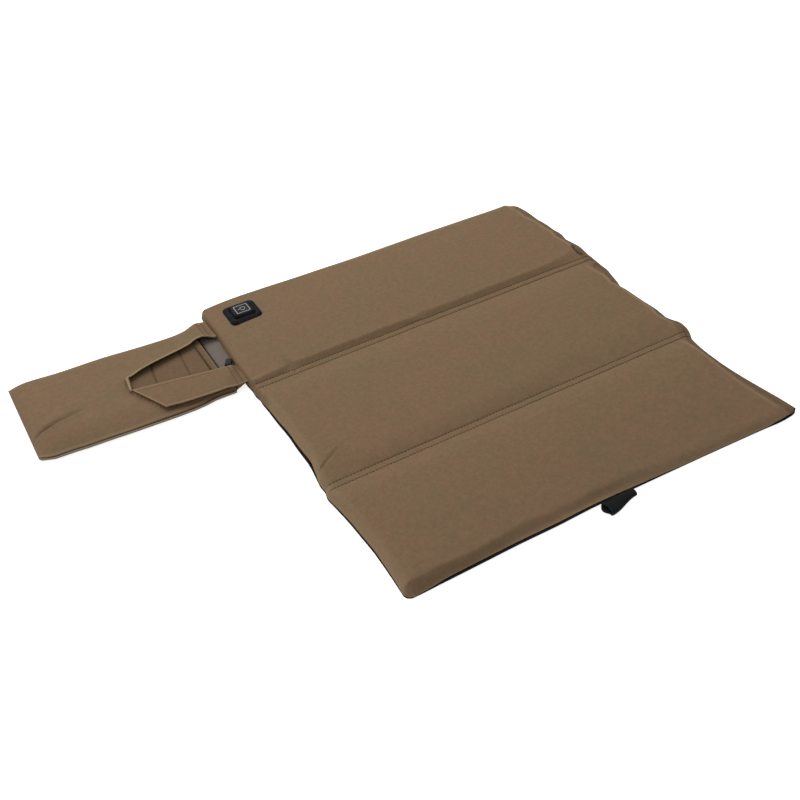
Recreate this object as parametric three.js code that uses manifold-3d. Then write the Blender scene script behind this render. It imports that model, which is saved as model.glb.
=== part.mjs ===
// A heated seat cushion that folds in three. Three padded panels are joined by
// two sewn webs. A flat pouch for a power bank hangs on the left side of the rear
// panel, a push switch sits on that panel's corner, and a short lead runs from the
// panel into the pouch. A webbing loop is sewn under the front edge.
import * as THREE from "three";
import { mergeVertices } from "three/addons/utils/BufferGeometryUtils.js";
import Module from "manifold-3d";

const wasm = await Module();
wasm.setup();

// All sizes are in millimetres. The seat lies flat: z = 0 is its underside, +X is
// the plain side, and +Y is the rear, where the switch is.

// The pad
const padWidth = 352;
const rearPanelLength = 129.5;
const middlePanelLength = 124.5;
const frontPanelLength = 116;
const panelHeight = 12;
const seamHeight = 4;
const edgeRoll = 20;
const outerCornerRadius = 8;
const webCornerRadius = 2.5;
const leastCornerRadius = 0.5;
const rearDrawIn = 1;
const middleDrawIn = 3;
const frontDrawIn = 4.5;

// The sewn webs between the panels, which are as long as a folded panel is high
const foldClearance = 1;
const webThickness = 2.7;
const webSlit = 0.7;
const webEndInset = 3;
const hingeClearance = 0.42;
const seamRise = 25;

// Cloth and layers inside
const coverThickness = 1.2;
const baseThickness = 1;
const rimWidth = 1.7;
const layerGap = 0.3;
const layerInset = 6;
const heaterThickness = 0.4;
const heaterWidth = 3;
const heaterPitch = 15;
const heaterMargin = 26;
const heaterFillet = 5;
const linkInset = 44;

// The switch
const switchWidth = 30;
const switchLength = 29;
const switchHeight = 2.6;
const switchCornerRadius = 4;
const switchSideInset = 17;
const switchRearInset = 19.5;
const keyWidth = 18;
const keyLength = 17;
const keyHeight = 4.2;
const keyCornerRadius = 2.5;
const keyBevel = 0.6;
const keyTravel = 0.8;
const keyClearance = 0.4;
const plungerDiameter = 8;
const boardWidth = 26;
const boardLength = 24;
const boardThickness = 1.2;
const domeDiameter = 6;
const pocketClearance = 1;
const supplyWidth = 5;
const supplyThickness = 0.4;

// The pouch
const pouchLength = 171;
const pouchWidth = 110;
const pouchHeight = 10.2;
const pouchRoll = 10;
const pouchRearInset = 10;
const pouchCornerRadius = 9;
const pouchStripThickness = 1.8;
const pouchStripInset = 2;
const pouchFaceThickness = 1;
const pouchBackThickness = 1;
const sleeveLength = 150;
const sleeveWidth = 72;
const sleeveMouthInset = 6;
const sleeveRearInset = 12;
const sleeveThickness = 0.8;
const sleeveTop = 8;
const sleeveFoot = 1.9;
const lipThickness = 1;
const cutOverrun = 5;

// The lead and its plug
const leadDiameter = 4;
const glandWidth = 5.4;
const glandLength = 11;
const glandHeight = 4;
const glandSideInset = 1.3;
const glandRearInset = 85.5;
const glandTaper = 1;
const plugLength = 21;
const plugWidth = 14;
const plugHeight = 6.4;
const plugCornerRadius = 2.4;
const shellLength = 13;
const shellWidth = 12;
const shellHeight = 4.5;
const shellWall = 0.4;

// The webbing loop under the front edge
const loopWidth = 27.5;
const loopLength = 14.5;
const loopThickness = 1.3;
const loopHeight = 7.8;
const loopTail = 2.6;
const loopTailClearance = 0.3;
const loopTaper = 0.7;
const loopFlare = 2.3;
const loopShift = 3;

// How finely curves are stepped
const cornerSteps = 3;
const longSideSteps = 7;
const shortSideSteps = 4;
const roundSteps = 16;
const leadSides = 8;
const leadSteps = 20;

// Heights and places that follow from the sizes
const webMiddle = panelHeight / 2;
const webLength = panelHeight + foldClearance;
const padLength = rearPanelLength + middlePanelLength + frontPanelLength + 2 * webLength;
const sideX = padWidth / 2;
const rearEdgeY = padLength / 2;
const rearHingeOuterY = rearEdgeY - rearPanelLength;
const rearHingeInnerY = rearHingeOuterY - webLength;
const frontHingeInnerY = rearHingeInnerY - middlePanelLength;
const frontHingeOuterY = frontHingeInnerY - webLength;
const frontEdgeY = frontHingeOuterY - frontPanelLength;
const hingeLines = [rearHingeOuterY, rearHingeInnerY, frontHingeInnerY, frontHingeOuterY];
const pouchHingeX = -sideX - hingeClearance;
const pouchWebLength = 2 * seamHeight + foldClearance;
const pouchRightX = pouchHingeX - pouchWebLength - hingeClearance;
const pouchLeftX = pouchRightX - pouchLength;
const pouchRearY = rearEdgeY - pouchRearInset;
const pouchFrontY = pouchRearY - pouchWidth;

// Colours, roughness and metalness
const canvas = cloth(0x7b6750);
const darkCloth = cloth(0x17171a);
const greyLining = cloth(0x857a70);
const wadding = cloth(0xd9d5cc);
const foam = cloth(0xb9bcc0);
const webbing = cloth(0x151618);
const silicone = new THREE.MeshStandardMaterial({ color: 0x1c1d20, roughness: 0.62, metalness: 0 });
const heatingTape = new THREE.MeshStandardMaterial({ color: 0x3a3a3d, roughness: 0.5, metalness: 0 });
const boardGreen = new THREE.MeshStandardMaterial({ color: 0x1f5a3c, roughness: 0.45, metalness: 0 });
const leadJacket = new THREE.MeshStandardMaterial({ color: 0x18191b, roughness: 0.5, metalness: 0 });
const plugPlastic = new THREE.MeshStandardMaterial({ color: 0x1a1b1d, roughness: 0.45, metalness: 0 });
const steel = new THREE.MeshStandardMaterial({ color: 0xb8babd, roughness: 0.3, metalness: 1 });

function cloth(color) {
  return new THREE.MeshStandardMaterial({ color, roughness: 0.92, metalness: 0 });
}

const seat = new THREE.Group();

function addPiece(name, geometry, material) {
  const mesh = new THREE.Mesh(geometry, material);
  mesh.name = name;
  seat.add(mesh);
}

// Solids in and out of the boolean library

function toSolid(geometry) {
  const bare = new THREE.BufferGeometry();
  bare.setAttribute("position", geometry.getAttribute("position"));
  if (geometry.index) {
    bare.setIndex(geometry.index);
  }
  const merged = mergeVertices(bare);
  return new wasm.Manifold(new wasm.Mesh({
    numProp: 3,
    vertProperties: new Float32Array(merged.getAttribute("position").array),
    triVerts: new Uint32Array(merged.index.array),
  }));
}

function toGeometry(solid) {
  const mesh = solid.getMesh();
  const geometry = new THREE.BufferGeometry();
  geometry.setAttribute("position", new THREE.BufferAttribute(mesh.vertProperties, mesh.numProp));
  geometry.setIndex(new THREE.BufferAttribute(mesh.triVerts, 1));
  geometry.computeVertexNormals();
  return geometry;
}

// Plain solids

// A flat plate with the outline of a list of [x, y] points, from z = bottom up.
function plate(outline, bottom, height) {
  const shape = new THREE.Shape(outline.map(([x, y]) => new THREE.Vector2(x, y)));
  const geometry = new THREE.ExtrudeGeometry(shape, { depth: height, bevelEnabled: false });
  return geometry.translate(0, 0, bottom);
}

function block(x0, x1, y0, y1, z0, z1) {
  const geometry = new THREE.BoxGeometry(x1 - x0, y1 - y0, z1 - z0);
  return geometry.translate((x0 + x1) / 2, (y0 + y1) / 2, (z0 + z1) / 2);
}

// A bar whose section is a shape in (y, z), running from x = x0 to x1.
function barAlongX(section, x0, x1) {
  const geometry = new THREE.ExtrudeGeometry(section, { depth: x1 - x0, bevelEnabled: false });
  const turn = new THREE.Matrix4().makeBasis(
    new THREE.Vector3(0, 1, 0), new THREE.Vector3(0, 0, 1), new THREE.Vector3(1, 0, 0));
  return geometry.applyMatrix4(turn).translate(x0, 0, 0);
}

// A bar whose section is a shape in (z, x), running from y = y0 to y1.
function barAlongY(section, y0, y1) {
  const geometry = new THREE.ExtrudeGeometry(section, { depth: y1 - y0, bevelEnabled: false });
  const turn = new THREE.Matrix4().makeBasis(
    new THREE.Vector3(0, 0, 1), new THREE.Vector3(1, 0, 0), new THREE.Vector3(0, 1, 0));
  return geometry.applyMatrix4(turn).translate(0, y0, 0);
}

function polygon(points) {
  return new THREE.Shape(points.map(([u, v]) => new THREE.Vector2(u, v)));
}

// The points of a rectangle with round corners, as [x, y] pairs.
function roundedOutline(x0, x1, y0, y1, radius) {
  const points = [];
  const centres = [[x1 - radius, y0 + radius], [x1 - radius, y1 - radius],
    [x0 + radius, y1 - radius], [x0 + radius, y0 + radius]];
  centres.forEach(([cx, cy], corner) => {
    for (let step = 0; step <= cornerSteps; step += 1) {
      const angle = (corner - 1 + step / cornerSteps) * Math.PI / 2;
      points.push([cx + radius * Math.cos(angle), cy + radius * Math.sin(angle)]);
    }
  });
  return points;
}

// Padded forms. Each is a stack of loops that follow the outline at a growing inset.

// How far the surface has risen from the seam to the crown, from 0 to 1.
function riseShare(inset, roll) {
  const left = 1 - Math.min(Math.max(inset, 0) / roll, 1);
  return 1 - left ** 3;
}

// The seam's height: low round the outside, and half-way up beside a web.
function panelSeam(y) {
  const nearest = Math.min(...hingeLines.map((line) => Math.abs(line - y)));
  const away = Math.min(nearest / seamRise, 1);
  const smooth = away * away * (3 - 2 * away);
  return webMiddle + (seamHeight - webMiddle) * smooth;
}

// Corners run front right, rear right, rear left, front left. The right side is
// drawn in between its corners by the form's draw-in.
function insetLoop(form, inset) {
  const loop = [];
  const corners = [[1, 0], [1, 1], [0, 1], [0, 0]];
  const spans = [shortSideSteps, longSideSteps, shortSideSteps, longSideSteps];
  const starts = corners.map(([right, rear], corner) => {
    const radius = Math.max(form.radii[corner] - inset, leastCornerRadius);
    const x = right ? form.x1 - inset - radius : form.x0 + inset + radius;
    const y = rear ? form.y1 - inset - radius : form.y0 + inset + radius;
    return { x, y, radius };
  });
  const arcPoint = (corner, share) => {
    const { x, y, radius } = starts[corner];
    const angle = (corner - 1 + share) * Math.PI / 2;
    return new THREE.Vector2(x + radius * Math.cos(angle), y + radius * Math.sin(angle));
  };
  for (let corner = 0; corner < 4; corner += 1) {
    for (let step = 0; step <= cornerSteps; step += 1) {
      loop.push(arcPoint(corner, step / cornerSteps));
    }
    const from = arcPoint(corner, 1);
    const to = arcPoint((corner + 1) % 4, 0);
    for (let step = 1; step < spans[corner]; step += 1) {
      const point = from.clone().lerp(to, step / spans[corner]);
      if (corner === 0) {
        const bow = Math.sin(Math.PI * step / spans[corner]) ** 2;
        point.x -= form.drawIn * bow * (1 - riseShare(inset, form.roll));
      }
      loop.push(point);
    }
  }
  return loop;
}

// Loops as [inset, height], where the height is a function of the point and inset.
function stackedForm(form, levels) {
  const loops = levels.map(([inset, height]) => insetLoop(form, inset).map(
    (point) => new THREE.Vector3(point.x, point.y, height(point.y, inset))));
  const count = loops[0].length;
  const positions = loops.flat().flatMap((point) => [point.x, point.y, point.z]);
  const faces = [];
  for (let level = 0; level + 1 < loops.length; level += 1) {
    for (let index = 0; index < count; index += 1) {
      const a = level * count + index;
      const b = level * count + (index + 1) % count;
      faces.push(a, b, b + count, a, b + count, a + count);
    }
  }
  const cap = (level, up) => {
    const flat = loops[level].map((point) => new THREE.Vector2(point.x, point.y));
    for (const [i, j, k] of THREE.ShapeUtils.triangulateShape(flat, [])) {
      const turn = flat[j].clone().sub(flat[i]).cross(flat[k].clone().sub(flat[i]));
      const [p, q] = (turn > 0) === up ? [j, k] : [k, j];
      faces.push(level * count + i, level * count + p, level * count + q);
    }
  };
  cap(0, false);
  cap(loops.length - 1, true);
  const geometry = new THREE.BufferGeometry();
  geometry.setAttribute("position", new THREE.Float32BufferAttribute(positions, 3));
  geometry.setIndex(faces);
  geometry.computeVertexNormals();
  return geometry;
}

// The heights of the cloth's two faces over a form. The top cover rises from the
// seam to the crown, and the base sinks from it to the floor.
function topOuter(form) {
  return (y, inset) => {
    const rim = form.seam(y) + form.slit / 2;
    return rim + (form.crown - rim) * riseShare(inset, form.roll);
  };
}

function topInner(form) {
  return (y, inset) => {
    const rim = form.seam(y) + form.slit / 2;
    return rim + (form.crown - form.topCloth - rim) * riseShare(inset - rimWidth, form.roll);
  };
}

function baseOuter(form) {
  return (y, inset) => (form.seam(y) - form.slit / 2) * (1 - riseShare(inset, form.roll));
}

function baseInner(form) {
  return (y, inset) => {
    const rim = form.seam(y) - form.slit / 2;
    return rim + (form.baseCloth - rim) * riseShare(inset - rimWidth, form.roll);
  };
}

const topShares = [0, 0.08, 0.2, 0.4, 0.65, 1];
const liningShares = [0, 0.22, 0.5, 1];
const baseShares = [0, 0.2, 0.5, 1];
const fillShares = [0, 0.35, 1];

function levels(form, shares, start, height) {
  return shares.map((share) => [start + share * form.roll, height]);
}

function topSkin(form) {
  const inside = levels(form, liningShares, rimWidth, topInner(form)).reverse();
  return stackedForm(form, [...inside, ...levels(form, topShares, 0, topOuter(form))]);
}

function baseSkin(form) {
  const outside = levels(form, baseShares, 0, baseOuter(form)).reverse();
  return stackedForm(form, [...outside, ...levels(form, liningShares, rimWidth, baseInner(form))]);
}

// The wadding lies over the heating tape and the foam under it.
function waddingForm(form) {
  const bottom = webMiddle + heaterThickness / 2 + layerGap;
  const under = topInner(form);
  const rise = (y, inset) => under(y, inset) - layerGap;
  return stackedForm(form, [[layerInset, () => bottom], ...levels(form, fillShares, layerInset, rise)]);
}

function foamForm(form) {
  const top = webMiddle - heaterThickness / 2 - layerGap;
  const over = baseInner(form);
  const sink = (y, inset) => over(y, inset) + layerGap;
  return stackedForm(form, [...levels(form, fillShares, layerInset, sink).reverse(), [layerInset, () => top]]);
}

// A panel between two y edges. A web edge starts one hinge clearance inside its line.
function panelForm(frontY, rearY, drawIn) {
  const frontWeb = frontY !== frontEdgeY;
  const rearWeb = rearY !== rearEdgeY;
  const frontRadius = frontWeb ? webCornerRadius : outerCornerRadius;
  const rearRadius = rearWeb ? webCornerRadius : outerCornerRadius;
  return {
    x0: -sideX,
    x1: sideX,
    y0: frontY + (frontWeb ? hingeClearance : 0),
    y1: rearY - (rearWeb ? hingeClearance : 0),
    radii: [frontRadius, rearRadius, rearRadius, frontRadius],
    drawIn,
    roll: edgeRoll,
    seam: panelSeam,
    slit: webSlit,
    crown: panelHeight,
    topCloth: coverThickness,
    baseCloth: baseThickness,
  };
}

// Heating tape: a centre line of [x, y] corners, rounded and widened to an outline.
function tapeOutline(corners, width) {
  const line = [corners[0]];
  const vectors = corners.map(([x, y]) => new THREE.Vector2(x, y));
  for (let index = 1; index + 1 < vectors.length; index += 1) {
    const here = vectors[index];
    const back = vectors[index - 1].clone().sub(here).setLength(heaterFillet).add(here);
    const ahead = vectors[index + 1].clone().sub(here).setLength(heaterFillet).add(here);
    for (let step = 0; step <= cornerSteps; step += 1) {
      const t = step / cornerSteps;
      const a = back.clone().lerp(here, t);
      const b = here.clone().lerp(ahead, t);
      const point = a.lerp(b, t);
      line.push([point.x, point.y]);
    }
  }
  line.push(corners[corners.length - 1]);
  const left = [];
  const right = [];
  line.forEach(([x, y], index) => {
    const before = line[Math.max(index - 1, 0)];
    const after = line[Math.min(index + 1, line.length - 1)];
    const along = new THREE.Vector2(after[0] - before[0], after[1] - before[1]).normalize();
    left.push([x - along.y * width / 2, y + along.x * width / 2]);
    right.push([x + along.y * width / 2, y - along.x * width / 2]);
  });
  return [...left, ...right.reverse()];
}

// The tape enters at the start point, winds in rows along X from the entry edge to
// the far edge, and leaves at the end point when there is one.
function heaterTape(form, entry, exit) {
  const left = form.x0 + heaterMargin;
  const right = form.x1 - heaterMargin;
  const fromRear = entry[1] > (form.y0 + form.y1) / 2;
  const firstY = fromRear ? form.y1 - heaterMargin : form.y0 + heaterMargin;
  const reach = form.y1 - form.y0 - 2 * heaterMargin;
  const rows = 2 * Math.floor(reach / heaterPitch / 2) + 1;
  const step = (fromRear ? -1 : 1) * reach / (rows - 1);
  const startsLeft = entry[0] < (left + right) / 2;
  const corners = [entry, [entry[0], firstY]];
  for (let row = 0; row < rows; row += 1) {
    const y = firstY + row * step;
    const [near, far] = (row % 2 === 0) === startsLeft ? [left, right] : [right, left];
    if (row > 0) {
      corners.push([near, y]);
    }
    if (exit && row === rows - 1) {
      corners.push([exit[0], y], exit);
    } else {
      corners.push([far, y]);
    }
  }
  return plate(tapeOutline(corners, heaterWidth), webMiddle - heaterThickness / 2, heaterThickness);
}

// A web's strip of cloth, thinned to a wedge at each hinge line so that it folds.
function webStrip(frontY, rearY, side) {
  const near = webSlit / 2;
  const far = webThickness / 2;
  const y0 = frontY + hingeClearance;
  const y1 = rearY - hingeClearance;
  const slope = far - near;
  const at = (z) => webMiddle + side * z;
  const section = polygon([[y0, at(near)], [y1, at(near)], [y1 - slope, at(far)], [y0 + slope, at(far)]]);
  return barAlongX(section, -sideX + webEndInset, sideX - webEndInset);
}

// The switch's places
const switchX0 = -sideX + switchSideInset;
const switchX1 = switchX0 + switchWidth;
const switchY1 = rearEdgeY - switchRearInset;
const switchY0 = switchY1 - switchLength;
const switchX = (switchX0 + switchX1) / 2;
const switchY = (switchY0 + switchY1) / 2;
const boardBottom = webMiddle + heaterThickness / 2 + 2 * layerGap;
const boardTop = boardBottom + boardThickness;
const keyBottom = panelHeight + layerGap + keyTravel;
const domeTop = panelHeight - coverThickness - layerGap - keyTravel / 2;
const plungerBottom = domeTop + keyTravel + layerGap / 2;

function disc(diameter, bottom, top) {
  const geometry = new THREE.CylinderGeometry(diameter / 2, diameter / 2, top - bottom, roundSteps);
  return geometry.rotateX(Math.PI / 2).translate(switchX, switchY, (top + bottom) / 2);
}

function keyWell(margin) {
  return roundedOutline(
    switchX - keyWidth / 2 - margin, switchX + keyWidth / 2 + margin,
    switchY - keyLength / 2 - margin, switchY + keyLength / 2 + margin, keyCornerRadius + margin);
}

function switchBase() {
  const bottom = panelHeight + layerGap;
  const body = plate(
    roundedOutline(switchX0, switchX1, switchY0, switchY1, switchCornerRadius), bottom, switchHeight);
  const well = plate(keyWell(keyClearance), bottom - cutOverrun, switchHeight + 2 * cutOverrun);
  return toGeometry(toSolid(body).subtract(toSolid(well)));
}

function switchKey() {
  const cap = new THREE.ExtrudeGeometry(polygon(keyWell(-keyBevel)), {
    depth: keyHeight - 2 * keyBevel,
    bevelThickness: keyBevel,
    bevelSize: keyBevel,
    bevelSegments: 1,
  }).translate(0, 0, keyBottom + keyBevel);
  const plunger = disc(plungerDiameter, plungerBottom, keyBottom + keyBevel);
  return toGeometry(toSolid(cap).add(toSolid(plunger)));
}

// The tape that feeds the board: in at the side seam by the gland, then along to it.
function supplyTape() {
  const y0 = glandMiddleY - supplyWidth / 2;
  const y1 = glandMiddleY + supplyWidth / 2;
  const half = supplyThickness / 2;
  const x0 = -sideX + layerGap;
  const x1 = -sideX + rimWidth + layerGap;
  const x2 = -sideX + layerInset;
  const x3 = switchX0 + supplyWidth;
  const line = [[seamHeight, x0], [seamHeight, x1], [webMiddle, x2], [webMiddle, x3]];
  const upper = line.map(([z, x]) => [z + half, x]);
  const lower = line.map(([z, x]) => [z - half, x]);
  const entry = barAlongY(polygon([...upper, ...lower.reverse()]), y0, y1);
  const run = block(x3 - supplyWidth, x3, y0, switchY - boardLength / 4, webMiddle - half, webMiddle + half);
  return toGeometry(toSolid(entry).add(toSolid(run)));
}

// The pouch's form, its mouth and the pieces inside it
const pouchForm = {
  x0: pouchLeftX,
  x1: pouchRightX,
  y0: pouchFrontY,
  y1: pouchRearY,
  radii: [webCornerRadius, webCornerRadius, pouchCornerRadius, pouchCornerRadius],
  drawIn: 0,
  roll: pouchRoll,
  seam: () => seamHeight,
  slit: webSlit,
  crown: pouchHeight,
  topCloth: pouchFaceThickness,
  baseCloth: pouchBackThickness,
};

// Shares of the pouch's length from the pad, and of its width from its front edge
const mouthShares = [
  [-0.05, 0.69], [0.023, 0.715], [0.076, 0.682], [0.263, 0.61], [0.435, 0.561],
  [0.462, 0.5], [0.465, 0.371], [0.42, 0.15], [0.15, 0.1], [0.1, -0.05], [-0.05, -0.05],
];
const lipShares = [[0, 0.01], [0.361, 0.042], [0.465, 0.371], [0, 0.227]];

function pouchPoint([along, across]) {
  return [pouchRightX - along * pouchLength, pouchFrontY + across * pouchWidth];
}

function pouchFace() {
  const cutter = plate(mouthShares.map(pouchPoint), 0, pouchHeight + cutOverrun);
  return toGeometry(toSolid(topSkin(pouchForm)).subtract(toSolid(cutter)));
}

// The lip is a band that follows the face from the front edge, then runs on level.
const lipBendShares = [0.012, 0.035, 0.07, 0.12, 0.4];

function pouchLip() {
  const height = topOuter(pouchForm);
  const lower = lipBendShares.map((share) => {
    const across = share * pouchWidth;
    return [pouchFrontY + across, height(pouchFrontY, across) + layerGap];
  });
  const upper = lower.map(([y, z]) => [y, z + lipThickness]);
  const band = barAlongX(polygon([...lower, ...upper.reverse()]), pouchLeftX, pouchRightX);
  const trim = plate(lipShares.map(pouchPoint), 0, pouchHeight + cutOverrun);
  return toGeometry(toSolid(band).intersect(toSolid(trim)));
}

const sleeveX1 = pouchRightX - sleeveMouthInset;
const sleeveX0 = sleeveX1 - sleeveLength;
const sleeveY1 = pouchRearY - sleeveRearInset;
const sleeveY0 = sleeveY1 - sleeveWidth;

// An inner sleeve for the power bank, open at its mouth and below, where the
// pouch's back closes it.
function pouchSleeve() {
  const outer = block(sleeveX0, sleeveX1, sleeveY0, sleeveY1, sleeveFoot, sleeveTop);
  const inner = block(
    sleeveX0 + sleeveThickness, sleeveX1 + cutOverrun, sleeveY0 + sleeveThickness,
    sleeveY1 - sleeveThickness, sleeveFoot - cutOverrun, sleeveTop - sleeveThickness);
  return toGeometry(toSolid(outer).subtract(toSolid(inner)));
}

// The strip that joins the pouch to the pad, thinned to a wedge at both hinge lines.
const stripX1 = pouchHingeX - hingeClearance;
const stripX0 = pouchHingeX - pouchWebLength + hingeClearance;

function pouchStrip() {
  const half = pouchStripThickness / 2;
  const edge = webSlit / 2;
  const slope = half - edge;
  const section = polygon([
    [seamHeight - edge, stripX0], [seamHeight - half, stripX0 + slope],
    [seamHeight - half, stripX1 - slope], [seamHeight - edge, stripX1],
    [seamHeight + edge, stripX1], [seamHeight + half, stripX1 - slope],
    [seamHeight + half, stripX0 + slope], [seamHeight + edge, stripX0]]);
  return barAlongY(section, pouchFrontY + pouchStripInset, pouchRearY - pouchStripInset);
}

// The gland where the lead leaves the pad, a small boot on the strip
const glandX1 = -sideX - glandSideInset;
const glandX0 = glandX1 - glandWidth;
const glandX = (glandX0 + glandX1) / 2;
const glandY0 = rearEdgeY - glandRearInset - glandLength / 2;
const glandY1 = glandY0 + glandLength;
const glandMiddleY = (glandY0 + glandY1) / 2;
const glandBottom = seamHeight + pouchStripThickness / 2 + layerGap;
const glandTop = glandBottom + glandHeight;

function leadGland() {
  const section = polygon([
    [glandBottom, glandX0], [glandTop - glandTaper, glandX0], [glandTop, glandX0 + glandTaper],
    [glandTop, glandX1 - glandTaper], [glandTop - glandTaper, glandX1], [glandBottom, glandX1]]);
  return barAlongY(section, glandY0, glandY1);
}

// The lead's route, from the gland's front face to the plug. Its first and last
// points are taken from the gland and the plug, and the others are chosen by hand.
const plugX1 = -256.4;
const plugY = 94.5;
const plugZ = 4.85;
const leadRoute = [
  [glandX, glandY0 - layerGap, glandBottom + leadDiameter / 2],
  [-180.2, 100, 7.4],
  [-181.5, 94, 7.4],
  [-185, 89, 7.2],
  [-190.5, 87, 6.4],
  [-197, 88, 5.6],
  [-206, 91, 5.1],
  [-220, 93.6, 4.9],
  [-240, 94.4, 4.85],
  [plugX1 + layerGap, plugY, plugZ],
];

function usbLead() {
  const path = new THREE.CatmullRomCurve3(leadRoute.map((point) => new THREE.Vector3(...point)));
  const section = [];
  for (let side = 0; side < leadSides; side += 1) {
    const angle = 2 * Math.PI * side / leadSides;
    section.push([Math.cos(angle) * leadDiameter / 2, Math.sin(angle) * leadDiameter / 2]);
  }
  return new THREE.ExtrudeGeometry(polygon(section), { steps: leadSteps, extrudePath: path });
}

function plugBody() {
  const outline = roundedOutline(
    plugY - plugWidth / 2, plugY + plugWidth / 2, plugZ - plugHeight / 2, plugZ + plugHeight / 2,
    plugCornerRadius);
  return barAlongX(polygon(outline), plugX1 - plugLength, plugX1);
}

function plugShell() {
  const x1 = plugX1 - plugLength - layerGap;
  const x0 = x1 - shellLength;
  const box = (margin, start) => block(
    start, x1, plugY - shellWidth / 2 + margin, plugY + shellWidth / 2 - margin,
    plugZ - shellHeight / 2 + margin, plugZ + shellHeight / 2 - margin);
  const cavity = box(shellWall, x0 - cutOverrun).translate(-shellWall, 0, 0);
  return toGeometry(toSolid(box(0, x0)).subtract(toSolid(cavity)));
}

// Half a circle of points round the loop's outer end, from top to bottom.
function loopEnd(middleY, radius) {
  const points = [];
  for (let step = 0; step <= roundSteps / 2; step += 1) {
    const angle = Math.PI / 2 + 2 * Math.PI * step / roundSteps;
    points.push([middleY + radius * Math.cos(angle), seamHeight + radius * Math.sin(angle)]);
  }
  return points;
}

// The webbing loop: folded webbing whose flat tail is sewn under the front edge and
// flares to an open eye.
function webbingLoop() {
  const root = frontEdgeY - hingeClearance;
  const outside = loopHeight / 2;
  const inside = outside - loopThickness;
  const neck = loopThickness + loopTailClearance / 2;
  const endY = root - loopLength + outside;
  const tailY = root - loopTail;
  const outer = polygon([
    [root, seamHeight - neck + loopTaper],
    [root, seamHeight + neck - loopTaper],
    [root - loopTaper, seamHeight + neck],
    [tailY, seamHeight + neck],
    [tailY - loopFlare, seamHeight + outside],
    ...loopEnd(endY, outside),
    [tailY - loopFlare, seamHeight - outside],
    [tailY, seamHeight - neck],
    [root - loopTaper, seamHeight - neck],
  ]);
  const eyeY = tailY - loopThickness;
  const eye = [[eyeY, seamHeight], [eyeY - loopFlare, seamHeight + inside],
    ...loopEnd(endY, inside), [eyeY - loopFlare, seamHeight - inside]];
  outer.holes.push(new THREE.Path(eye.map(([y, z]) => new THREE.Vector2(y, z))));
  return barAlongX(outer, loopShift - loopWidth / 2, loopShift + loopWidth / 2);
}

// The three panels
const rearForm = panelForm(rearHingeOuterY, rearEdgeY, rearDrawIn);
const middleForm = panelForm(frontHingeInnerY, rearHingeInnerY, middleDrawIn);
const frontForm = panelForm(frontEdgeY, frontHingeOuterY, frontDrawIn);
const linkX = sideX - linkInset;

// The switch's cuts in the rear panel's cover and wadding
const plungerHole = toSolid(disc(plungerDiameter + 2 * keyClearance, boardTop, panelHeight + cutOverrun));
const boardPocket = toSolid(block(
  switchX - boardWidth / 2 - pocketClearance, switchX + boardWidth / 2 + pocketClearance,
  switchY - boardLength / 2 - pocketClearance, switchY + boardLength / 2 + pocketClearance,
  0, panelHeight));

addPiece("rear_cover", toGeometry(toSolid(topSkin(rearForm)).subtract(plungerHole)), canvas);
addPiece("rear_wadding", toGeometry(toSolid(waddingForm(rearForm)).subtract(boardPocket)), wadding);
addPiece("middle_cover", topSkin(middleForm), canvas);
addPiece("middle_wadding", waddingForm(middleForm), wadding);
addPiece("front_cover", topSkin(frontForm), canvas);
addPiece("front_wadding", waddingForm(frontForm), wadding);
for (const [name, form] of [["rear", rearForm], ["middle", middleForm], ["front", frontForm]]) {
  addPiece(`${name}_foam`, foamForm(form), foam);
  addPiece(`${name}_base`, baseSkin(form), darkCloth);
}

// The heating tape runs from the switch's board through all three panels.
const tapeEnd = hingeClearance;
addPiece("rear_heater", heaterTape(
  rearForm, [switchX, switchY], [linkX, rearHingeOuterY + tapeEnd]), heatingTape);
addPiece("middle_heater", heaterTape(
  middleForm, [linkX, rearHingeInnerY - tapeEnd], [-linkX, frontHingeInnerY + tapeEnd]), heatingTape);
addPiece("front_heater", heaterTape(
  frontForm, [-linkX, frontHingeOuterY - tapeEnd], null), heatingTape);

// The sewn webs, each with the tape that links two heaters
const webs = [
  ["rear", rearHingeInnerY, rearHingeOuterY, linkX],
  ["front", frontHingeOuterY, frontHingeInnerY, -linkX],
];
for (const [name, frontY, rearY, x] of webs) {
  addPiece(`${name}_web_cover`, webStrip(frontY, rearY, 1), canvas);
  addPiece(`${name}_web_base`, webStrip(frontY, rearY, -1), darkCloth);
  addPiece(`${name}_web_link`, block(
    x - heaterWidth / 2, x + heaterWidth / 2, frontY + tapeEnd, rearY - tapeEnd,
    webMiddle - heaterThickness / 2, webMiddle + heaterThickness / 2), heatingTape);
}

// The switch
addPiece("switch_base", switchBase(), silicone);
addPiece("switch_key", switchKey(), silicone);
addPiece("switch_board", block(
  switchX - boardWidth / 2, switchX + boardWidth / 2,
  switchY - boardLength / 2, switchY + boardLength / 2, boardBottom, boardTop), boardGreen);
addPiece("switch_dome", disc(domeDiameter, boardTop + layerGap, domeTop), steel);
addPiece("supply_tape", supplyTape(), heatingTape);

// The pouch, the lead and the webbing loop
addPiece("pouch_strip", pouchStrip(), greyLining);
addPiece("pouch_back", baseSkin(pouchForm), greyLining);
addPiece("pouch_face", pouchFace(), canvas);
addPiece("pouch_sleeve", pouchSleeve(), canvas);
addPiece("pouch_lip", pouchLip(), canvas);
addPiece("lead_gland", leadGland(), silicone);
addPiece("usb_lead", usbLead(), leadJacket);
addPiece("usb_plug_body", plugBody(), plugPlastic);
addPiece("usb_plug_shell", plugShell(), steel);
addPiece("webbing_loop", webbingLoop(), webbing);

export default seat;
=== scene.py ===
# %% [markdown]
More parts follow.
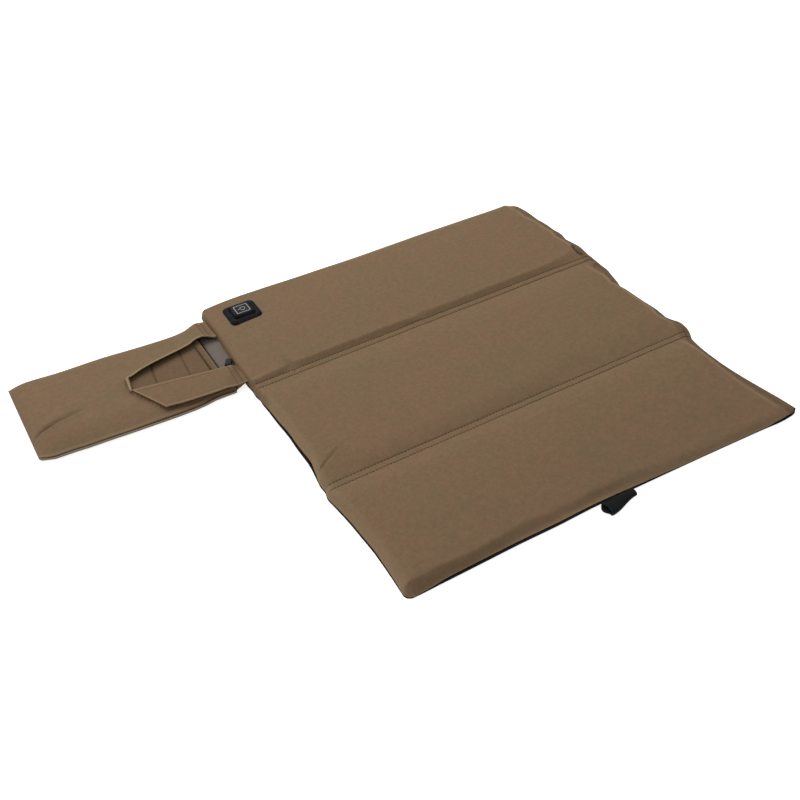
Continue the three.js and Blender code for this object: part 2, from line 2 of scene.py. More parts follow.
# # A folding heated seat cushion
# This lesson dresses a finished CAD model with cloth, thread, silicone and webbing. The CAD model gives the
# place of every piece and the joints between them. Blender adds what makes it look like a sewn thing. We
# load the frame first. Nothing that we add may outgrow it.

# %% Load the frame
import math
import bpy
import numpy as np
from mathutils import Matrix, Vector


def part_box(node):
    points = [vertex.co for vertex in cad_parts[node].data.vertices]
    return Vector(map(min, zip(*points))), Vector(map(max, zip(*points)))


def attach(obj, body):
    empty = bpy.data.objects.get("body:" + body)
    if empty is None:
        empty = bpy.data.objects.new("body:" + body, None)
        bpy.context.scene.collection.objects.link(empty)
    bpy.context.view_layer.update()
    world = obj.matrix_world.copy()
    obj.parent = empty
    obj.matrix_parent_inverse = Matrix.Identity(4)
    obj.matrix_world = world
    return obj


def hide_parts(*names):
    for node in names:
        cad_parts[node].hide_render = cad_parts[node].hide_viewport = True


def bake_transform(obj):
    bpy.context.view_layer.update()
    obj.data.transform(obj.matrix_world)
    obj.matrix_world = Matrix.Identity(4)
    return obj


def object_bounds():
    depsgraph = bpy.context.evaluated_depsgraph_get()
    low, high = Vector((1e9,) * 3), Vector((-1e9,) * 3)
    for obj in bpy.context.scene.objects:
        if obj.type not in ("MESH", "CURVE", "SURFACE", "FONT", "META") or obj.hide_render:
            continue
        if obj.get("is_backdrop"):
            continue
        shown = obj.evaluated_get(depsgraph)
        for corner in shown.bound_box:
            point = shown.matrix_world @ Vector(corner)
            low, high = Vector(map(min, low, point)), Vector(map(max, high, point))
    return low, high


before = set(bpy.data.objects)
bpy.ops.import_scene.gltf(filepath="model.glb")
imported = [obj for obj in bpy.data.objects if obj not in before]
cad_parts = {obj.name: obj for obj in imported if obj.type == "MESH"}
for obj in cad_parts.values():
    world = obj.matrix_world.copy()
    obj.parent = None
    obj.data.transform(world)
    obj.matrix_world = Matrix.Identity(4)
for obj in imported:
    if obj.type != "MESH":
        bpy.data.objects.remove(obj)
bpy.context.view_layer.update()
MM = 0.001

# %% [markdown]
# ## The camera
# The cushion is seen from its front left, about 40 degrees above the table. The numbers come from matching
# the corners of the pad, so we give the camera its place, its two angles and a small roll. We could
# aim it with a constraint, but a plain matrix is easier to read and never drifts.

# %% Camera
CAMERA_PLACE = Vector((-0.38206, -0.63738, 0.58541))
CAMERA_AZIMUTH = math.radians(-25.95258)
CAMERA_ELEVATION = math.radians(39.96308)
CAMERA_ROLL = math.radians(-5.06387)
LENS_MM = 49.30


def camera_turn(azimuth, elevation, roll):
    """The camera's turn, as columns right, up and backward."""
    forward = Vector((-math.sin(azimuth) * math.cos(elevation), math.cos(azimuth) * math.cos(elevation),
                      -math.sin(elevation)))
    level = forward.cross(Vector((0, 0, 1))).normalized()
    above = level.cross(forward)
    right = math.cos(roll) * level + math.sin(roll) * above
    up = -math.sin(roll) * level + math.cos(roll) * above
    return Matrix((right, up, -forward)).transposed()


lens = bpy.data.cameras.new("Camera")
lens.lens = LENS_MM
lens.sensor_width = 36
lens.clip_start = 0.01
camera = bpy.data.objects.new("Camera", lens)
turn = camera_turn(CAMERA_AZIMUTH, CAMERA_ELEVATION, CAMERA_ROLL)
camera.matrix_world = Matrix.Translation(CAMERA_PLACE) @ turn.to_4x4()
bpy.context.scene.collection.objects.link(camera)
bpy.context.scene.camera = camera
bpy.context.scene.view_settings.view_transform = "Standard"
print("camera at", tuple(round(v, 3) for v in CAMERA_PLACE))

# %% [markdown]
# ## Helpers for meshes
# Nearly everything here is a grid of points in millimetres: a cloth is an open grid, a cord or a hem is a
# grid that closes round. Each mesh keeps two attributes on its vertices: "rest", where a vertex was before
# anything moved, and "wear_and_painted_light", from -1 for painted shade in creases and gaps to 1 for worn
# edges and painted highlights. The finishes read both.

# %% Mesh makers


def make_piece(name, points, faces, material=None, wear_and_painted_light=None, smooth=True):
    """A mesh object in mm, with its rest place and its worn edges and painted light kept on the vertices."""
    points = np.asarray(points, float).reshape(-1, 3) * MM
    mesh = bpy.data.meshes.new(name)
    mesh.from_pydata(points.tolist(), [], [tuple(int(i) for i in f) for f in faces])
    mesh.polygons.foreach_set("use_smooth", [smooth] * len(mesh.polygons))
    rest = mesh.attributes.new("rest", "FLOAT_VECTOR", "POINT")
    rest.data.foreach_set("vector", points.astype(np.float32).ravel())
    amount = np.zeros(len(points), np.float32)
    if wear_and_painted_light is not None:
        amount[:] = np.asarray(wear_and_painted_light, np.float32).ravel()
    # Below 0 this layer paints shade into creases and gaps; above 0 it lightens worn edges and paints
    # highlights.
    wear_and_light_layer = mesh.attributes.new("wear_and_painted_light", "FLOAT", "POINT")
    wear_and_light_layer.data.foreach_set("value", amount)
    if material:
        mesh.materials.append(material)
    piece = bpy.data.objects.new(name, mesh)
    bpy.context.scene.collection.objects.link(piece)
    return piece


def grid_faces(rows, columns, keep=None, flip=False, wrap=False, offset=0):
    """Faces of a grid of points, row by row."""
    faces = []
    for j in range(rows - 1):
        for i in range(columns if wrap else columns - 1):
            if keep is not None and not keep[j, i]:
                continue
            k = (i + 1) % columns
            quad = (j * columns + i, j * columns + k, (j + 1) * columns + k, (j + 1) * columns + i)
            quad = tuple(q + offset for q in quad)
            faces.append(quad[::-1] if flip else quad)
    return faces


def capped_faces(rings, sides, offset=0):
    """Faces of a tube of closed rings, with both ends closed."""
    faces = grid_faces(rings, sides, wrap=True, offset=offset)
    faces.append([offset + k for k in range(sides)][::-1])
    faces.append([offset + (rings - 1) * sides + k for k in range(sides)])
    return faces


def xyz(x, y, z):
    """Points from their three coordinates, which may be arrays or single numbers."""
    return np.stack(np.broadcast_arrays(x, y, z), axis=-1)


def across_and_up(ahead):
    """Unit vectors to the side of and above a direction of travel."""
    ahead = ahead / np.linalg.norm(ahead, axis=-1, keepdims=True)
    across = np.cross((0, 0, 1), ahead)
    across /= np.linalg.norm(across, axis=-1, keepdims=True)
    return across, np.cross(ahead, across)


def circle_turns(count):
    """Evenly spaced angles once round."""
    return np.linspace(0, 2 * np.pi, count, endpoint=False)


def smooth_route(points, steps):
    """A Catmull-Rom line through the points, with this many steps between each two."""
    p = np.array(points, float)
    p = np.vstack([2 * p[0] - p[1], p, 2 * p[-1] - p[-2]])
    out = []
    for i in range(1, len(p) - 2):
        a, b, c, d = p[i - 1], p[i], p[i + 1], p[i + 2]
        for t in np.arange(steps) / steps:
            out.append(0.5 * (2 * b + (c - a) * t + (2 * a - 5 * b + 4 * c - d) * t ** 2
                              + (3 * b - a - 3 * c + d) * t ** 3))
    out.append(p[-2])
    return np.array(out)


def route_length(points):
    """The length of a line of points."""
    return float(np.linalg.norm(np.diff(points, axis=0), axis=1).sum())


def tube(name, route, radius_side, radius_up, material=None, sides=10, wear_and_painted_light=0.0):
    """A round or flattened tube along a route in mm."""
    across, up = across_and_up(np.gradient(route, axis=0))
    turns = circle_turns(sides)[:, None]
    points = (route[:, None] + across[:, None] * radius_side * np.cos(turns)
              + up[:, None] * radius_up * np.sin(turns))
    return make_piece(name, points, capped_faces(len(route), sides), material, wear_and_painted_light)


# %% [markdown]
# ## The lead
# The lead feeds the heater from a power bank. It is 4 mm thick and only as long as the pouch lets it be: it
# leaves the boot at the pad's side, dips under the lip and runs along the pouch's front to its plug. A tube
# of rings is enough for one short cord, and it follows the route of the CAD solid.

# %% Lead
LEAD_ROUTE = [(-183.0, 105.5, 6.9), (-184.4, 100, 6.8), (-186.6, 95, 6.7), (-190.4, 91, 6.4),
              (-195.5, 89.2, 6.0), (-201.5, 89.2, 5.6), (-208.5, 91, 5.2), (-221, 93.4, 4.95),
              (-240, 94.4, 4.85), (-256.1, 94.5, 4.85)]
LEAD_THICK = 4.0
lead_points = smooth_route(LEAD_ROUTE, 4)
lead = tube("usb_lead_cord", lead_points, LEAD_THICK / 2, LEAD_THICK / 2, sides=14)
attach(lead, "pouch")
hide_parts("usb_lead")
print("lead length mm", round(route_length(lead_points), 1))

# %% [markdown]
# ## Floor and light
# The picture is a product shot: white all round, light from one big soft box behind and above, and almost
# no shadow. The slopes that face the viewer are the dark ones, which tells where the box stands. A floor
# that shows white to the camera but still takes a soft shadow is made by adding a little emission that only
# camera and glossy rays see. The lamp stays at a level where a colour looks as written.

# %% Node helpers


def new_material(name):
    """A material with an empty node tree."""
    material = bpy.data.materials.new(name)
    material.use_nodes = True
    material.node_tree.nodes.clear()
    return material, material.node_tree


def link(tree, source, target):
    """Joins an output socket, or sets a value, on an input socket."""
    if isinstance(source, bpy.types.NodeSocket):
        tree.links.new(source, target)
    else:
        target.default_value = source


def math_node(tree, operation, a, b):
    """A math node's output."""
    node = tree.nodes.new("ShaderNodeMath")
    node.operation = operation
    link(tree, a, node.inputs[0])
    link(tree, b, node.inputs[1])
    return node.outputs[0]


def scaled(tree, value, factor):
    """A value times a factor."""
    return math_node(tree, "MULTIPLY", value, factor)


# %% Floor
FLOOR_HALF = 6.0
FLOOR_DROP = 0.0006
FLOOR_WHITE = (0.9, 0.9, 0.9, 1)
FLOOR_GLOW = 0.78

floor_mesh = bpy.data.meshes.new("floor")
corners = [(x * FLOOR_HALF, y * FLOOR_HALF, 0) for x, y in ((-1, -1), (1, -1), (1, 1), (-1, 1))]
floor_mesh.from_pydata(corners, [], [(0, 1, 2, 3)])
floor = bpy.data.objects.new("floor", floor_mesh)
floor.location.z = -FLOOR_DROP
bpy.context.scene.collection.objects.link(floor)
floor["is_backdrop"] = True
floor_paint, tree = new_material("white_floor")
diffuse = tree.nodes.new("ShaderNodeBsdfDiffuse")
diffuse.inputs["Color"].default_value = FLOOR_WHITE
seen = tree.nodes.new("ShaderNodeLightPath")
seen_by = math_node(tree, "MAXIMUM", seen.outputs["Is Camera Ray"], seen.outputs["Is Glossy Ray"])
glow = tree.nodes.new("ShaderNodeEmission")
tree.links.new(scaled(tree, seen_by, FLOOR_GLOW), glow.inputs["Strength"])
both = tree.nodes.new("ShaderNodeAddShader")
tree.links.new(diffuse.outputs[0], both.inputs[0])
tree.links.new(glow.outputs[0], both.inputs[1])
output = tree.nodes.new("ShaderNodeOutputMaterial")
tree.links.new(both.outputs[0], output.inputs["Surface"])
floor_mesh.materials.append(floor_paint)
print("floor is", 2 * FLOOR_HALF, "m wide")

# %% World and lamp
AMBIENT = 0.46
KEY_PLACE = Vector((-0.3, 1.35, 1.4))
KEY_AIM = Vector((-0.05, 0, 0))
KEY_SIZE = 1.3
KEY_WATTS = 22.5

world = bpy.data.worlds.new("studio")
bpy.context.scene.world = world
world.use_nodes = True
tree = world.node_tree
tree.nodes.clear()
seen = tree.nodes.new("ShaderNodeLightPath")
level = tree.nodes.new("ShaderNodeMapRange")
level.inputs["To Min"].default_value = AMBIENT
level.inputs["To Max"].default_value = 1.0
tree.links.new(seen.outputs["Is Camera Ray"], level.inputs["Value"])
sky = tree.nodes.new("ShaderNodeBackground")
sky.inputs["Color"].default_value = (1, 1, 1, 1)
tree.links.new(level.outputs["Result"], sky.inputs["Strength"])
output = tree.nodes.new("ShaderNodeOutputWorld")
tree.links.new(sky.outputs[0], output.inputs["Surface"])
lamp = bpy.data.lights.new("key_light", "AREA")
lamp.size = KEY_SIZE
lamp.energy = KEY_WATTS
soft_box = bpy.data.objects.new("key_light", lamp)
soft_box.location = KEY_PLACE
soft_box.rotation_euler = (KEY_AIM - KEY_PLACE).to_track_quat("-Z", "Y").to_euler()
bpy.context.scene.collection.objects.link(soft_box)
print("world level", AMBIENT, "lamp distance m", round((KEY_AIM - KEY_PLACE).length, 2))

# %% [markdown]
# ## Shared effects for the finishes
# Canvas, lining, base cloth and webbing all need threads and a little unevenness, so these effects are node
# groups with named sockets. A cloth pattern must not slide when the cushion folds, so every mesh keeps a
# "rest" attribute: where each vertex was before anything moved. The groups read that, never the camera.

# %% Group helpers


def new_group(name, inputs, outputs):
    """A shader node group; inputs and outputs are (name, type, default) rows."""
    group = bpy.data.node_groups.new(name, "ShaderNodeTree")
    for label, kind, value in inputs:
        socket = group.interface.new_socket(label, in_out="INPUT", socket_type="NodeSocket" + kind)
        if value is not None:
            socket.default_value = value
    for label, kind in outputs:
        group.interface.new_socket(label, in_out="OUTPUT", socket_type="NodeSocket" + kind)
    start = group.nodes.new("NodeGroupInput")
    end = group.nodes.new("NodeGroupOutput")
    return group, start, end


def blend_colour(tree, share, a, b):
    """A mix of two colours."""
    node = tree.nodes.new("ShaderNodeMix")
    node.data_type = "RGBA"
    link(tree, share, node.inputs["Factor"])
    link(tree, a, node.inputs["A"])
    link(tree, b, node.inputs["B"])
    return node.outputs["Result"]


def noise(tree, place, scale, detail, rough):
    """A noise texture's value."""
    node = tree.nodes.new("ShaderNodeTexNoise")
    link(tree, place, node.inputs["Vector"])
    link(tree, scale, node.inputs["Scale"])
    node.inputs["Detail"].default_value = detail
    node.inputs["Roughness"].default_value = rough
    return node.outputs["Fac"]


def band(tree, value, low, high):
    """0 below low, 1 above high and smooth between."""
    node = tree.nodes.new("ShaderNodeMapRange")
    node.interpolation_type = "SMOOTHSTEP"
    link(tree, value, node.inputs["Value"])
    node.inputs["From Min"].default_value = low
    node.inputs["From Max"].default_value = high
    return node.outputs["Result"]


# %% Weave group
weave, start, end = new_group("plain_weave", [("Place", "Vector", None), ("Threads", "Float", 1500.0)],
                              [("Height", "Float"), ("Weft", "Float")])
split = weave.nodes.new("ShaderNodeSeparateXYZ")
weave.links.new(start.outputs["Place"], split.inputs[0])
waves = []
for axis in ("X", "Y"):
    turns = scaled(weave, split.outputs[axis], start.outputs["Threads"])
    waves.append(math_node(weave, "SINE", scaled(weave, turns, math.pi), 0.0))
warp_bulge, weft_bulge = (math_node(weave, "ABSOLUTE", wave, 0.0) for wave in waves)
crossing = band(weave, scaled(weave, *waves), -0.25, 0.25)
mixed = weave.nodes.new("ShaderNodeMix")
weave.links.new(crossing, mixed.inputs["Factor"])
weave.links.new(warp_bulge, mixed.inputs["A"])
weave.links.new(weft_bulge, mixed.inputs["B"])
weave.links.new(mixed.outputs["Result"], end.inputs["Height"])
weave.links.new(crossing, end.inputs["Weft"])
print("weave group has", len(weave.nodes), "nodes")

# %% Patches group
patches, start, end = new_group("waxed_patches", [("Place", "Vector", None), ("Scale", "Float", 60.0),
                                                  ("Fine", "Float", 700.0)],
                                [("Patch", "Float"), ("Grain", "Float")])
large = noise(patches, start.outputs["Place"], start.outputs["Scale"], 3.0, 0.6)
fine = noise(patches, start.outputs["Place"], start.outputs["Fine"], 2.0, 0.6)
patches.links.new(band(patches, large, 0.34, 0.66), end.inputs["Patch"])
patches.links.new(fine, end.inputs["Grain"])
print("patches group has", len(patches.nodes), "nodes")

# %% Finish helpers


def group_node(tree, group, **values):
    """Places a node group with its own values."""
    node = tree.nodes.new("ShaderNodeGroup")
    node.node_tree = group
    for label, value in values.items():
        link(tree, value, node.inputs[label])
    return node


def attribute(tree, name, output):
    """One output of a vertex attribute."""
    node = tree.nodes.new("ShaderNodeAttribute")
    node.attribute_name = name
    return node.outputs[output]


def finish_with(name, build, roughness=0.8, sheen=0.0, specular=0.5, metallic=0.0, own_place=False):
    """A material round one Principled BSDF; build(tree, place) returns colour, roughness, bump and depth."""
    material, tree = new_material(name)
    if own_place:
        place = tree.nodes.new("ShaderNodeTexCoord").outputs["Object"]
    else:
        place = attribute(tree, "rest", "Vector")
    shader = tree.nodes.new("ShaderNodeBsdfPrincipled")
    shader.inputs["Roughness"].default_value = roughness
    shader.inputs["Sheen Weight"].default_value = sheen
    shader.inputs["Specular IOR Level"].default_value = specular
    shader.inputs["Metallic"].default_value = metallic
    colour, rough, height, depth = build(tree, place)
    link(tree, colour, shader.inputs["Base Color"])
    if rough is not None:
        link(tree, rough, shader.inputs["Roughness"])
    bump = tree.nodes.new("ShaderNodeBump")
    bump.inputs["Distance"].default_value = depth
    bump.inputs["Strength"].default_value = 1.0
    tree.links.new(height, bump.inputs["Height"])
    tree.links.new(bump.outputs["Normal"], shader.inputs["Normal"])
    out = tree.nodes.new("ShaderNodeOutputMaterial")
    tree.links.new(shader.outputs[0], out.inputs["Surface"])
    return material


def paint(red, green, blue):
    """A colour from the 0 to 255 values that a screen shows."""
    def linear(c):
        c = c / 255
        return c / 12.92 if c <= 0.04045 else ((c + 0.055) / 1.055) ** 2.4
    return (linear(red), linear(green), linear(blue), 1)


# %% [markdown]
# ## The cloths
# The cover is a waxed-looking canvas: close plain weave, a matt brown that drifts between reddish and olive
# in small patches, with a fine grain over them, and lighter where an edge or a hem is worn. The
# "wear_and_painted_light" attribute on each mesh says where those edges are, where a painted highlight
# lightens a crest or a hem, and where painted shade darkens a sewn groove, a crease or a gap under a fold.

# %% Canvas


def paint_wear_and_light(tree, colour, light, dark, share=0.5):
    """A colour lighter above 0 for worn edges and painted highlights, darker below 0 for painted shade."""
    wear_and_painted_light = attribute(tree, "wear_and_painted_light", "Fac")
    # Worn edges and painted highlights above 0, painted shade below 0.
    rub_and_highlight = math_node(tree, "MAXIMUM", wear_and_painted_light, 0.0)
    creased = math_node(tree, "MAXIMUM", scaled(tree, wear_and_painted_light, -1.0), 0.0)
    colour = blend_colour(tree, scaled(tree, rub_and_highlight, share), colour, light)
    return blend_colour(tree, scaled(tree, creased, 0.75), colour, dark)


def darker(colour, share):
    """A colour's dark version."""
    return tuple(share * c for c in colour[:3]) + (1,)


def canvas_finish(name, red_side, olive_side, light, rub_and_highlight):
    """Brown canvas between two tones of the screen colours given."""
    red_side, olive_side, light, rub_and_highlight = (paint(*c) for c in (red_side, olive_side, light, rub_and_highlight))

    def build(tree, place):
        cloth = group_node(tree, weave, Place=place, Threads=1500.0)
        near = group_node(tree, patches, Place=place, Scale=75.0, Fine=620.0)
        far = group_node(tree, patches, Place=place, Scale=11.0, Fine=230.0)
        drift = math_node(tree, "ADD", scaled(tree, near.outputs["Patch"], 0.6),
                          scaled(tree, far.outputs["Patch"], 0.4))
        colour = blend_colour(tree, drift, red_side, olive_side)
        pores = scaled(tree, band(tree, near.outputs["Grain"], 0.36, 0.74), 0.42)
        colour = blend_colour(tree, pores, colour, darker(red_side, 0.70))
        cloudy = scaled(tree, band(tree, far.outputs["Grain"], 0.35, 0.7), 0.14)
        colour = blend_colour(tree, cloudy, colour, light)
        colour = blend_colour(tree, scaled(tree, cloth.outputs["Weft"], 0.08), colour, light)
        # Worn edges and painted highlights lighten the canvas; painted shade darkens its grooves, creases
        # and gaps.
        colour = paint_wear_and_light(tree, colour, rub_and_highlight, darker(red_side, 0.36), 0.7)
        rough = math_node(tree, "ADD", scaled(tree, near.outputs["Grain"], 0.14), 0.74)
        return colour, rough, cloth.outputs["Height"], 0.00005
    return finish_with(name, build, specular=0.12)


# The last colour is the lighter tone for worn edges and painted highlights.
canvas = canvas_finish("brown_canvas_cloth", (136, 107, 82), (126, 107, 79), (160, 135, 104),
                       (176, 150, 117))
canvas_inside = canvas_finish("brown_canvas_inside", (119, 94, 71), (113, 92, 68), (142, 117, 90),
                              (156, 130, 100))
print("canvas finishes", canvas.name, canvas_inside.name)

# %% Black, grey and filling cloths


def plain_finish(name, base, light, threads, depth, rub_and_highlight=None, **shader):
    """A woven cloth of one screen colour with lighter threads."""
    base, light, rub_and_highlight = paint(*base), paint(*light), paint(*(rub_and_highlight or light))

    def build(tree, place):
        cloth = group_node(tree, weave, Place=place, Threads=threads)
        patch = group_node(tree, patches, Place=place, Scale=30.0, Fine=900.0)
        colour = blend_colour(tree, scaled(tree, patch.outputs["Grain"], 0.3), base, light)
        colour = blend_colour(tree, scaled(tree, cloth.outputs["Weft"], 0.12), colour, light)
        # Worn edges and painted light lighten the cloth; painted shade darkens it.
        return paint_wear_and_light(tree, colour, rub_and_highlight, darker(base, 0.4), 0.9), None, cloth.outputs["Height"], depth
    return finish_with(name, build, **shader)


black_cloth = plain_finish("black_base_weave", (20, 18, 21), (42, 39, 42), 1500.0, 0.00006, roughness=0.9,
                           specular=0.12)
# The grey cloth's last colour is painted light on the curled rim of the pouch's back.
grey_cloth = plain_finish("grey_lining_weave", (115, 106, 98), (136, 127, 118), 2100.0, 0.00003,
                          (166, 148, 128), specular=0.15)
wadding_cloth = plain_finish("white_wadding", (214, 212, 206), (236, 234, 230), 300.0, 0.0002,
                             roughness=0.95, sheen=0.2, specular=0.2)
black_web = plain_finish("black_webbing_weave", (15, 17, 17), (38, 40, 40), 620.0, 0.00025, specular=0.15)


def foam_build(tree, place):
    cells = tree.nodes.new("ShaderNodeTexVoronoi")
    tree.links.new(place, cells.inputs["Vector"])
    cells.inputs["Scale"].default_value = 900.0
    holes = band(tree, cells.outputs["Distance"], 0.1, 0.5)
    return blend_colour(tree, holes, paint(88, 86, 84), paint(122, 120, 116)), None, holes, 0.0003


foam = finish_with("grey_foam", foam_build, 0.95)
print("cloth finishes", [m.name for m in (black_cloth, grey_cloth, wadding_cloth, black_web, foam)])

# %% [markdown]
# ## Hard and rubbery finishes
# The switch is matt black silicone with a fine moulded grain and a pale print. The thread is olive-brown
# and slightly glossy. The heating tape and the board are inside, but they are finished too, because the
# cushion may be opened up later.

# %% Silicone, thread, print and plastics


def grain_finish(name, base, light, scale, depth, share=0.4, **shader):
    """A smooth finish with a fine grain and smudges between two screen colours."""
    base, light = paint(*base), paint(*light)

    def build(tree, place):
        grain = noise(tree, place, scale, 4.0, 0.6)
        smudge = noise(tree, place, scale / 14, 2.0, 0.5)
        colour = blend_colour(tree, scaled(tree, band(tree, smudge, 0.35, 0.7), share), base, light)
        rough = math_node(tree, "ADD", scaled(tree, grain, 0.2), 0.58)
        # Painted highlights, such as those on the switch, lift the colour towards its light tone.
        return paint_wear_and_light(tree, colour, light, base), rough, grain, depth
    return finish_with(name, build, **shader)


silicone = grain_finish("black_silicone", (23, 24, 30), (64, 62, 65), 1400.0, 0.00004, 0.15, specular=0.06)
print_paint = grain_finish("pale_print", (196, 194, 192), (216, 214, 212), 900.0, 0.00001, specular=0.3)
thread = grain_finish("olive_thread", (50, 43, 26), (76, 66, 42), 2200.0, 0.00008, specular=0.2)
# A lighter copy of the olive thread for the sleeve's hem, lightened to make up for the shade inside the
# mouth: painted light.
brightened_hem_thread = grain_finish("brightened_olive_thread", (84, 71, 44), (122, 104, 68), 2200.0, 0.00008, specular=0.2)
pale_thread = grain_finish("tan_thread", (140, 116, 86), (164, 140, 108), 2200.0, 0.00008, specular=0.2)
boot_rubber = grain_finish("charcoal_boot", (20, 21, 25), (36, 37, 42), 1600.0, 0.00004, specular=0.3)
jacket = grain_finish("dark_lead_jacket", (24, 23, 24), (40, 38, 39), 900.0, 0.00003, own_place=True)
plug_plastic = grain_finish("dark_plug_plastic", (34, 34, 36), (58, 58, 62), 1500.0, 0.00005, own_place=True)
steel = grain_finish("brushed_steel", (186, 188, 192), (214, 216, 220), 1800.0, 0.00002, metallic=1.0,
                     own_place=True)


def tape_build(tree, place):
    cloth = group_node(tree, weave, Place=place, Threads=1200.0)
    colour = blend_colour(tree, cloth.outputs["Weft"], paint(176, 60, 44), paint(206, 110, 80))
    return colour, None, cloth.outputs["Height"], 0.00008


def board_build(tree, place):
    cloth = group_node(tree, weave, Place=place, Threads=900.0)
    tracks = band(tree, noise(tree, place, 260.0, 1.0, 0.4), 0.5, 0.54)
    colour = blend_colour(tree, tracks, paint(22, 84, 52), paint(44, 116, 74))
    return colour, None, cloth.outputs["Height"], 0.00002


heating_tape = finish_with("woven_heating_tape", tape_build, 0.6, own_place=True)
board = finish_with("green_board", board_build, 0.45, own_place=True)

# %% Finishes of the carried nodes
CARRIED = {"usb_plug_body": plug_plastic, "usb_plug_shell": steel, "switch_board": board,
           "switch_dome": steel, "supply_tape": heating_tape}
for node_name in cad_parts:
    if node_name.endswith(("_heater", "_link")):
        CARRIED[node_name] = heating_tape
for node_name, material in CARRIED.items():
    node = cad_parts[node_name]
    if not node.material_slots:
        node.data.materials.append(material)
    for place in node.material_slots:
        place.material = material
lead.data.materials.append(jacket)
print("materials", len(bpy.data.materials), "carried nodes", len(CARRIED))

# %% [markdown]
# ## Helpers for cloth
# Each cloth is shaped by a formula, then given its thickness with a Solidify modifier. A formula keeps the
# weave square and lets two neighbours share a border exactly, which a sculpted mesh would not. We also need
# smooth steps, smooth curves through given points, and a way to crease cloth along a line.

# %% Curves in numpy


def step(t):
    """0 to 1 with level ends."""
    t = np.clip(t, 0, 1)
    return t * t * (3 - 2 * t)


def hill(d, width):
    """1 at d = 0, falling smoothly over the width."""
    return np.exp(-(np.asarray(d, float) / width) ** 2)


def along(points):
    """A smooth function through (place, value) points that never overshoots them."""
    xs = np.array([p[0] for p in points], float)
    ys = np.array([p[1] for p in points], float)
    secants = np.diff(ys) / np.diff(xs)
    before, after = secants[:-1], secants[1:]
    slopes = np.zeros(len(xs))
    even = before * after > 0
    slopes[1:-1][even] = 2 * before[even] * after[even] / (before[even] + after[even])

    def value(at):
        at = np.clip(np.asarray(at, float), xs[0], xs[-1])
        i = np.clip(np.searchsorted(xs, at) - 1, 0, len(xs) - 2)
        h = xs[i + 1] - xs[i]
        t = (at - xs[i]) / h
        return ((2 * t ** 3 - 3 * t ** 2 + 1) * ys[i] + (t ** 3 - 2 * t ** 2 + t) * h * slopes[i]
                + (3 * t ** 2 - 2 * t ** 3) * ys[i + 1] + (t ** 3 - t ** 2) * h * slopes[i + 1])
    return value


def stations(low, high, pitch, near_low=(), near_high=()):
    """Places from low to high: the given distances from either end, and even steps between."""
    first = low + (max(near_low) if near_low else 0)
    last = high - (max(near_high) if near_high else 0)
    count = max(2, int(round((last - first) / pitch)) + 1)
    return np.unique(np.concatenate([low + np.array((0,) + tuple(near_low)), np.linspace(first, last, count),
                                     high - np.array((0,) + tuple(near_high))]).round(6))


def ripple(seed, wave, size):
    """A smooth random line: a function of one place, with about this wavelength."""
    values = np.random.default_rng(seed).uniform(-1, 1, 400)

    def value(at):
        t = np.asarray(at, float) / wave * 2
        i = np.floor(t).astype(int)
        first, second = values[i % 400], values[(i + 1) % 400]
        return size * (first + (second - first) * step(t - i))
    return value


def dapple(seed, wave):
    """Smooth random relief over the plane, from -1 to 1, with about this wavelength in mm."""
    values = np.random.default_rng(seed).uniform(-1, 1, (64, 64))

    def value(x, y):
        a, b = np.asarray(x, float) / wave * 2, np.asarray(y, float) / wave * 2
        i, j = np.floor(a).astype(int), np.floor(b).astype(int)
        s, t = step(a - i), step(b - j)
        i, j = i % 64, j % 64
        k, m = (i + 1) % 64, (j + 1) % 64
        near = values[i, j] * (1 - s) + values[k, j] * s
        far = values[i, m] * (1 - s) + values[k, m] * s
        return near * (1 - t) + far * t
    return value


def line_distance(u, v, points):
    """Signed distance from a line of points (positive on its left) and the share along it."""
    p = np.asarray(points, float)
    total = route_length(p)
    best = np.full(np.shape(u), 1e9)
    side = np.zeros(np.shape(u))
    share = np.zeros(np.shape(u))
    gone = 0.0
    for a, b in zip(p[:-1], p[1:]):
        d = b - a
        size = float(np.hypot(*d))
        t = np.clip(((u - a[0]) * d[0] + (v - a[1]) * d[1]) / size ** 2, 0, 1)
        off_x, off_y = u - a[0] - t * d[0], v - a[1] - t * d[1]
        far = np.hypot(off_x, off_y)
        closer = far < best
        best = np.where(closer, far, best)
        side = np.where(closer, np.sign(d[0] * off_y - d[1] * off_x), side)
        share = np.where(closer, (gone + t * size) / total, share)
        gone += size
    return best * side, share


def crease(u, v, points, valley, ridge, width):
    """A valley along a line with a ridge on its left, fading towards both ends, in mm."""
    d, share = line_distance(u, v, points)
    fade = step(share / 0.2) * step((1 - share) / 0.3) * (share > 0) * (share < 1)
    return fade * (ridge * hill(d - 1.3 * width, width) - valley * hill(d, width))


# %% Cloth pieces


def sharpen_border(mesh):
    """Marks the open edges sharp, so that a hem's cut side doesn't darken the cloth beside it."""
    count = np.zeros(len(mesh.edges), int)
    loop_edges = np.empty(len(mesh.loops), np.int32)
    mesh.loops.foreach_get("edge_index", loop_edges)
    np.add.at(count, loop_edges, 1)
    mesh.edges.foreach_set("use_edge_sharp", count == 1)


def thicken(piece, thick, offset=-1.0):
    """Gives a sheet its thickness in mm, away from its outer side."""
    sharpen_border(piece.data)
    solid = piece.modifiers.new("thickness", "SOLIDIFY")
    solid.thickness = thick * MM
    solid.offset = offset
    return piece


def cloth_piece(name, grid, material, thick=1.0, wear_and_painted_light=None, flip=False, offset=-1.0):
    """A grid of cloth with its thickness."""
    rows, columns = grid.shape[:2]
    piece = make_piece(name, grid, grid_faces(rows, columns, flip=flip), material, wear_and_painted_light)
    return thicken(piece, thick, offset)


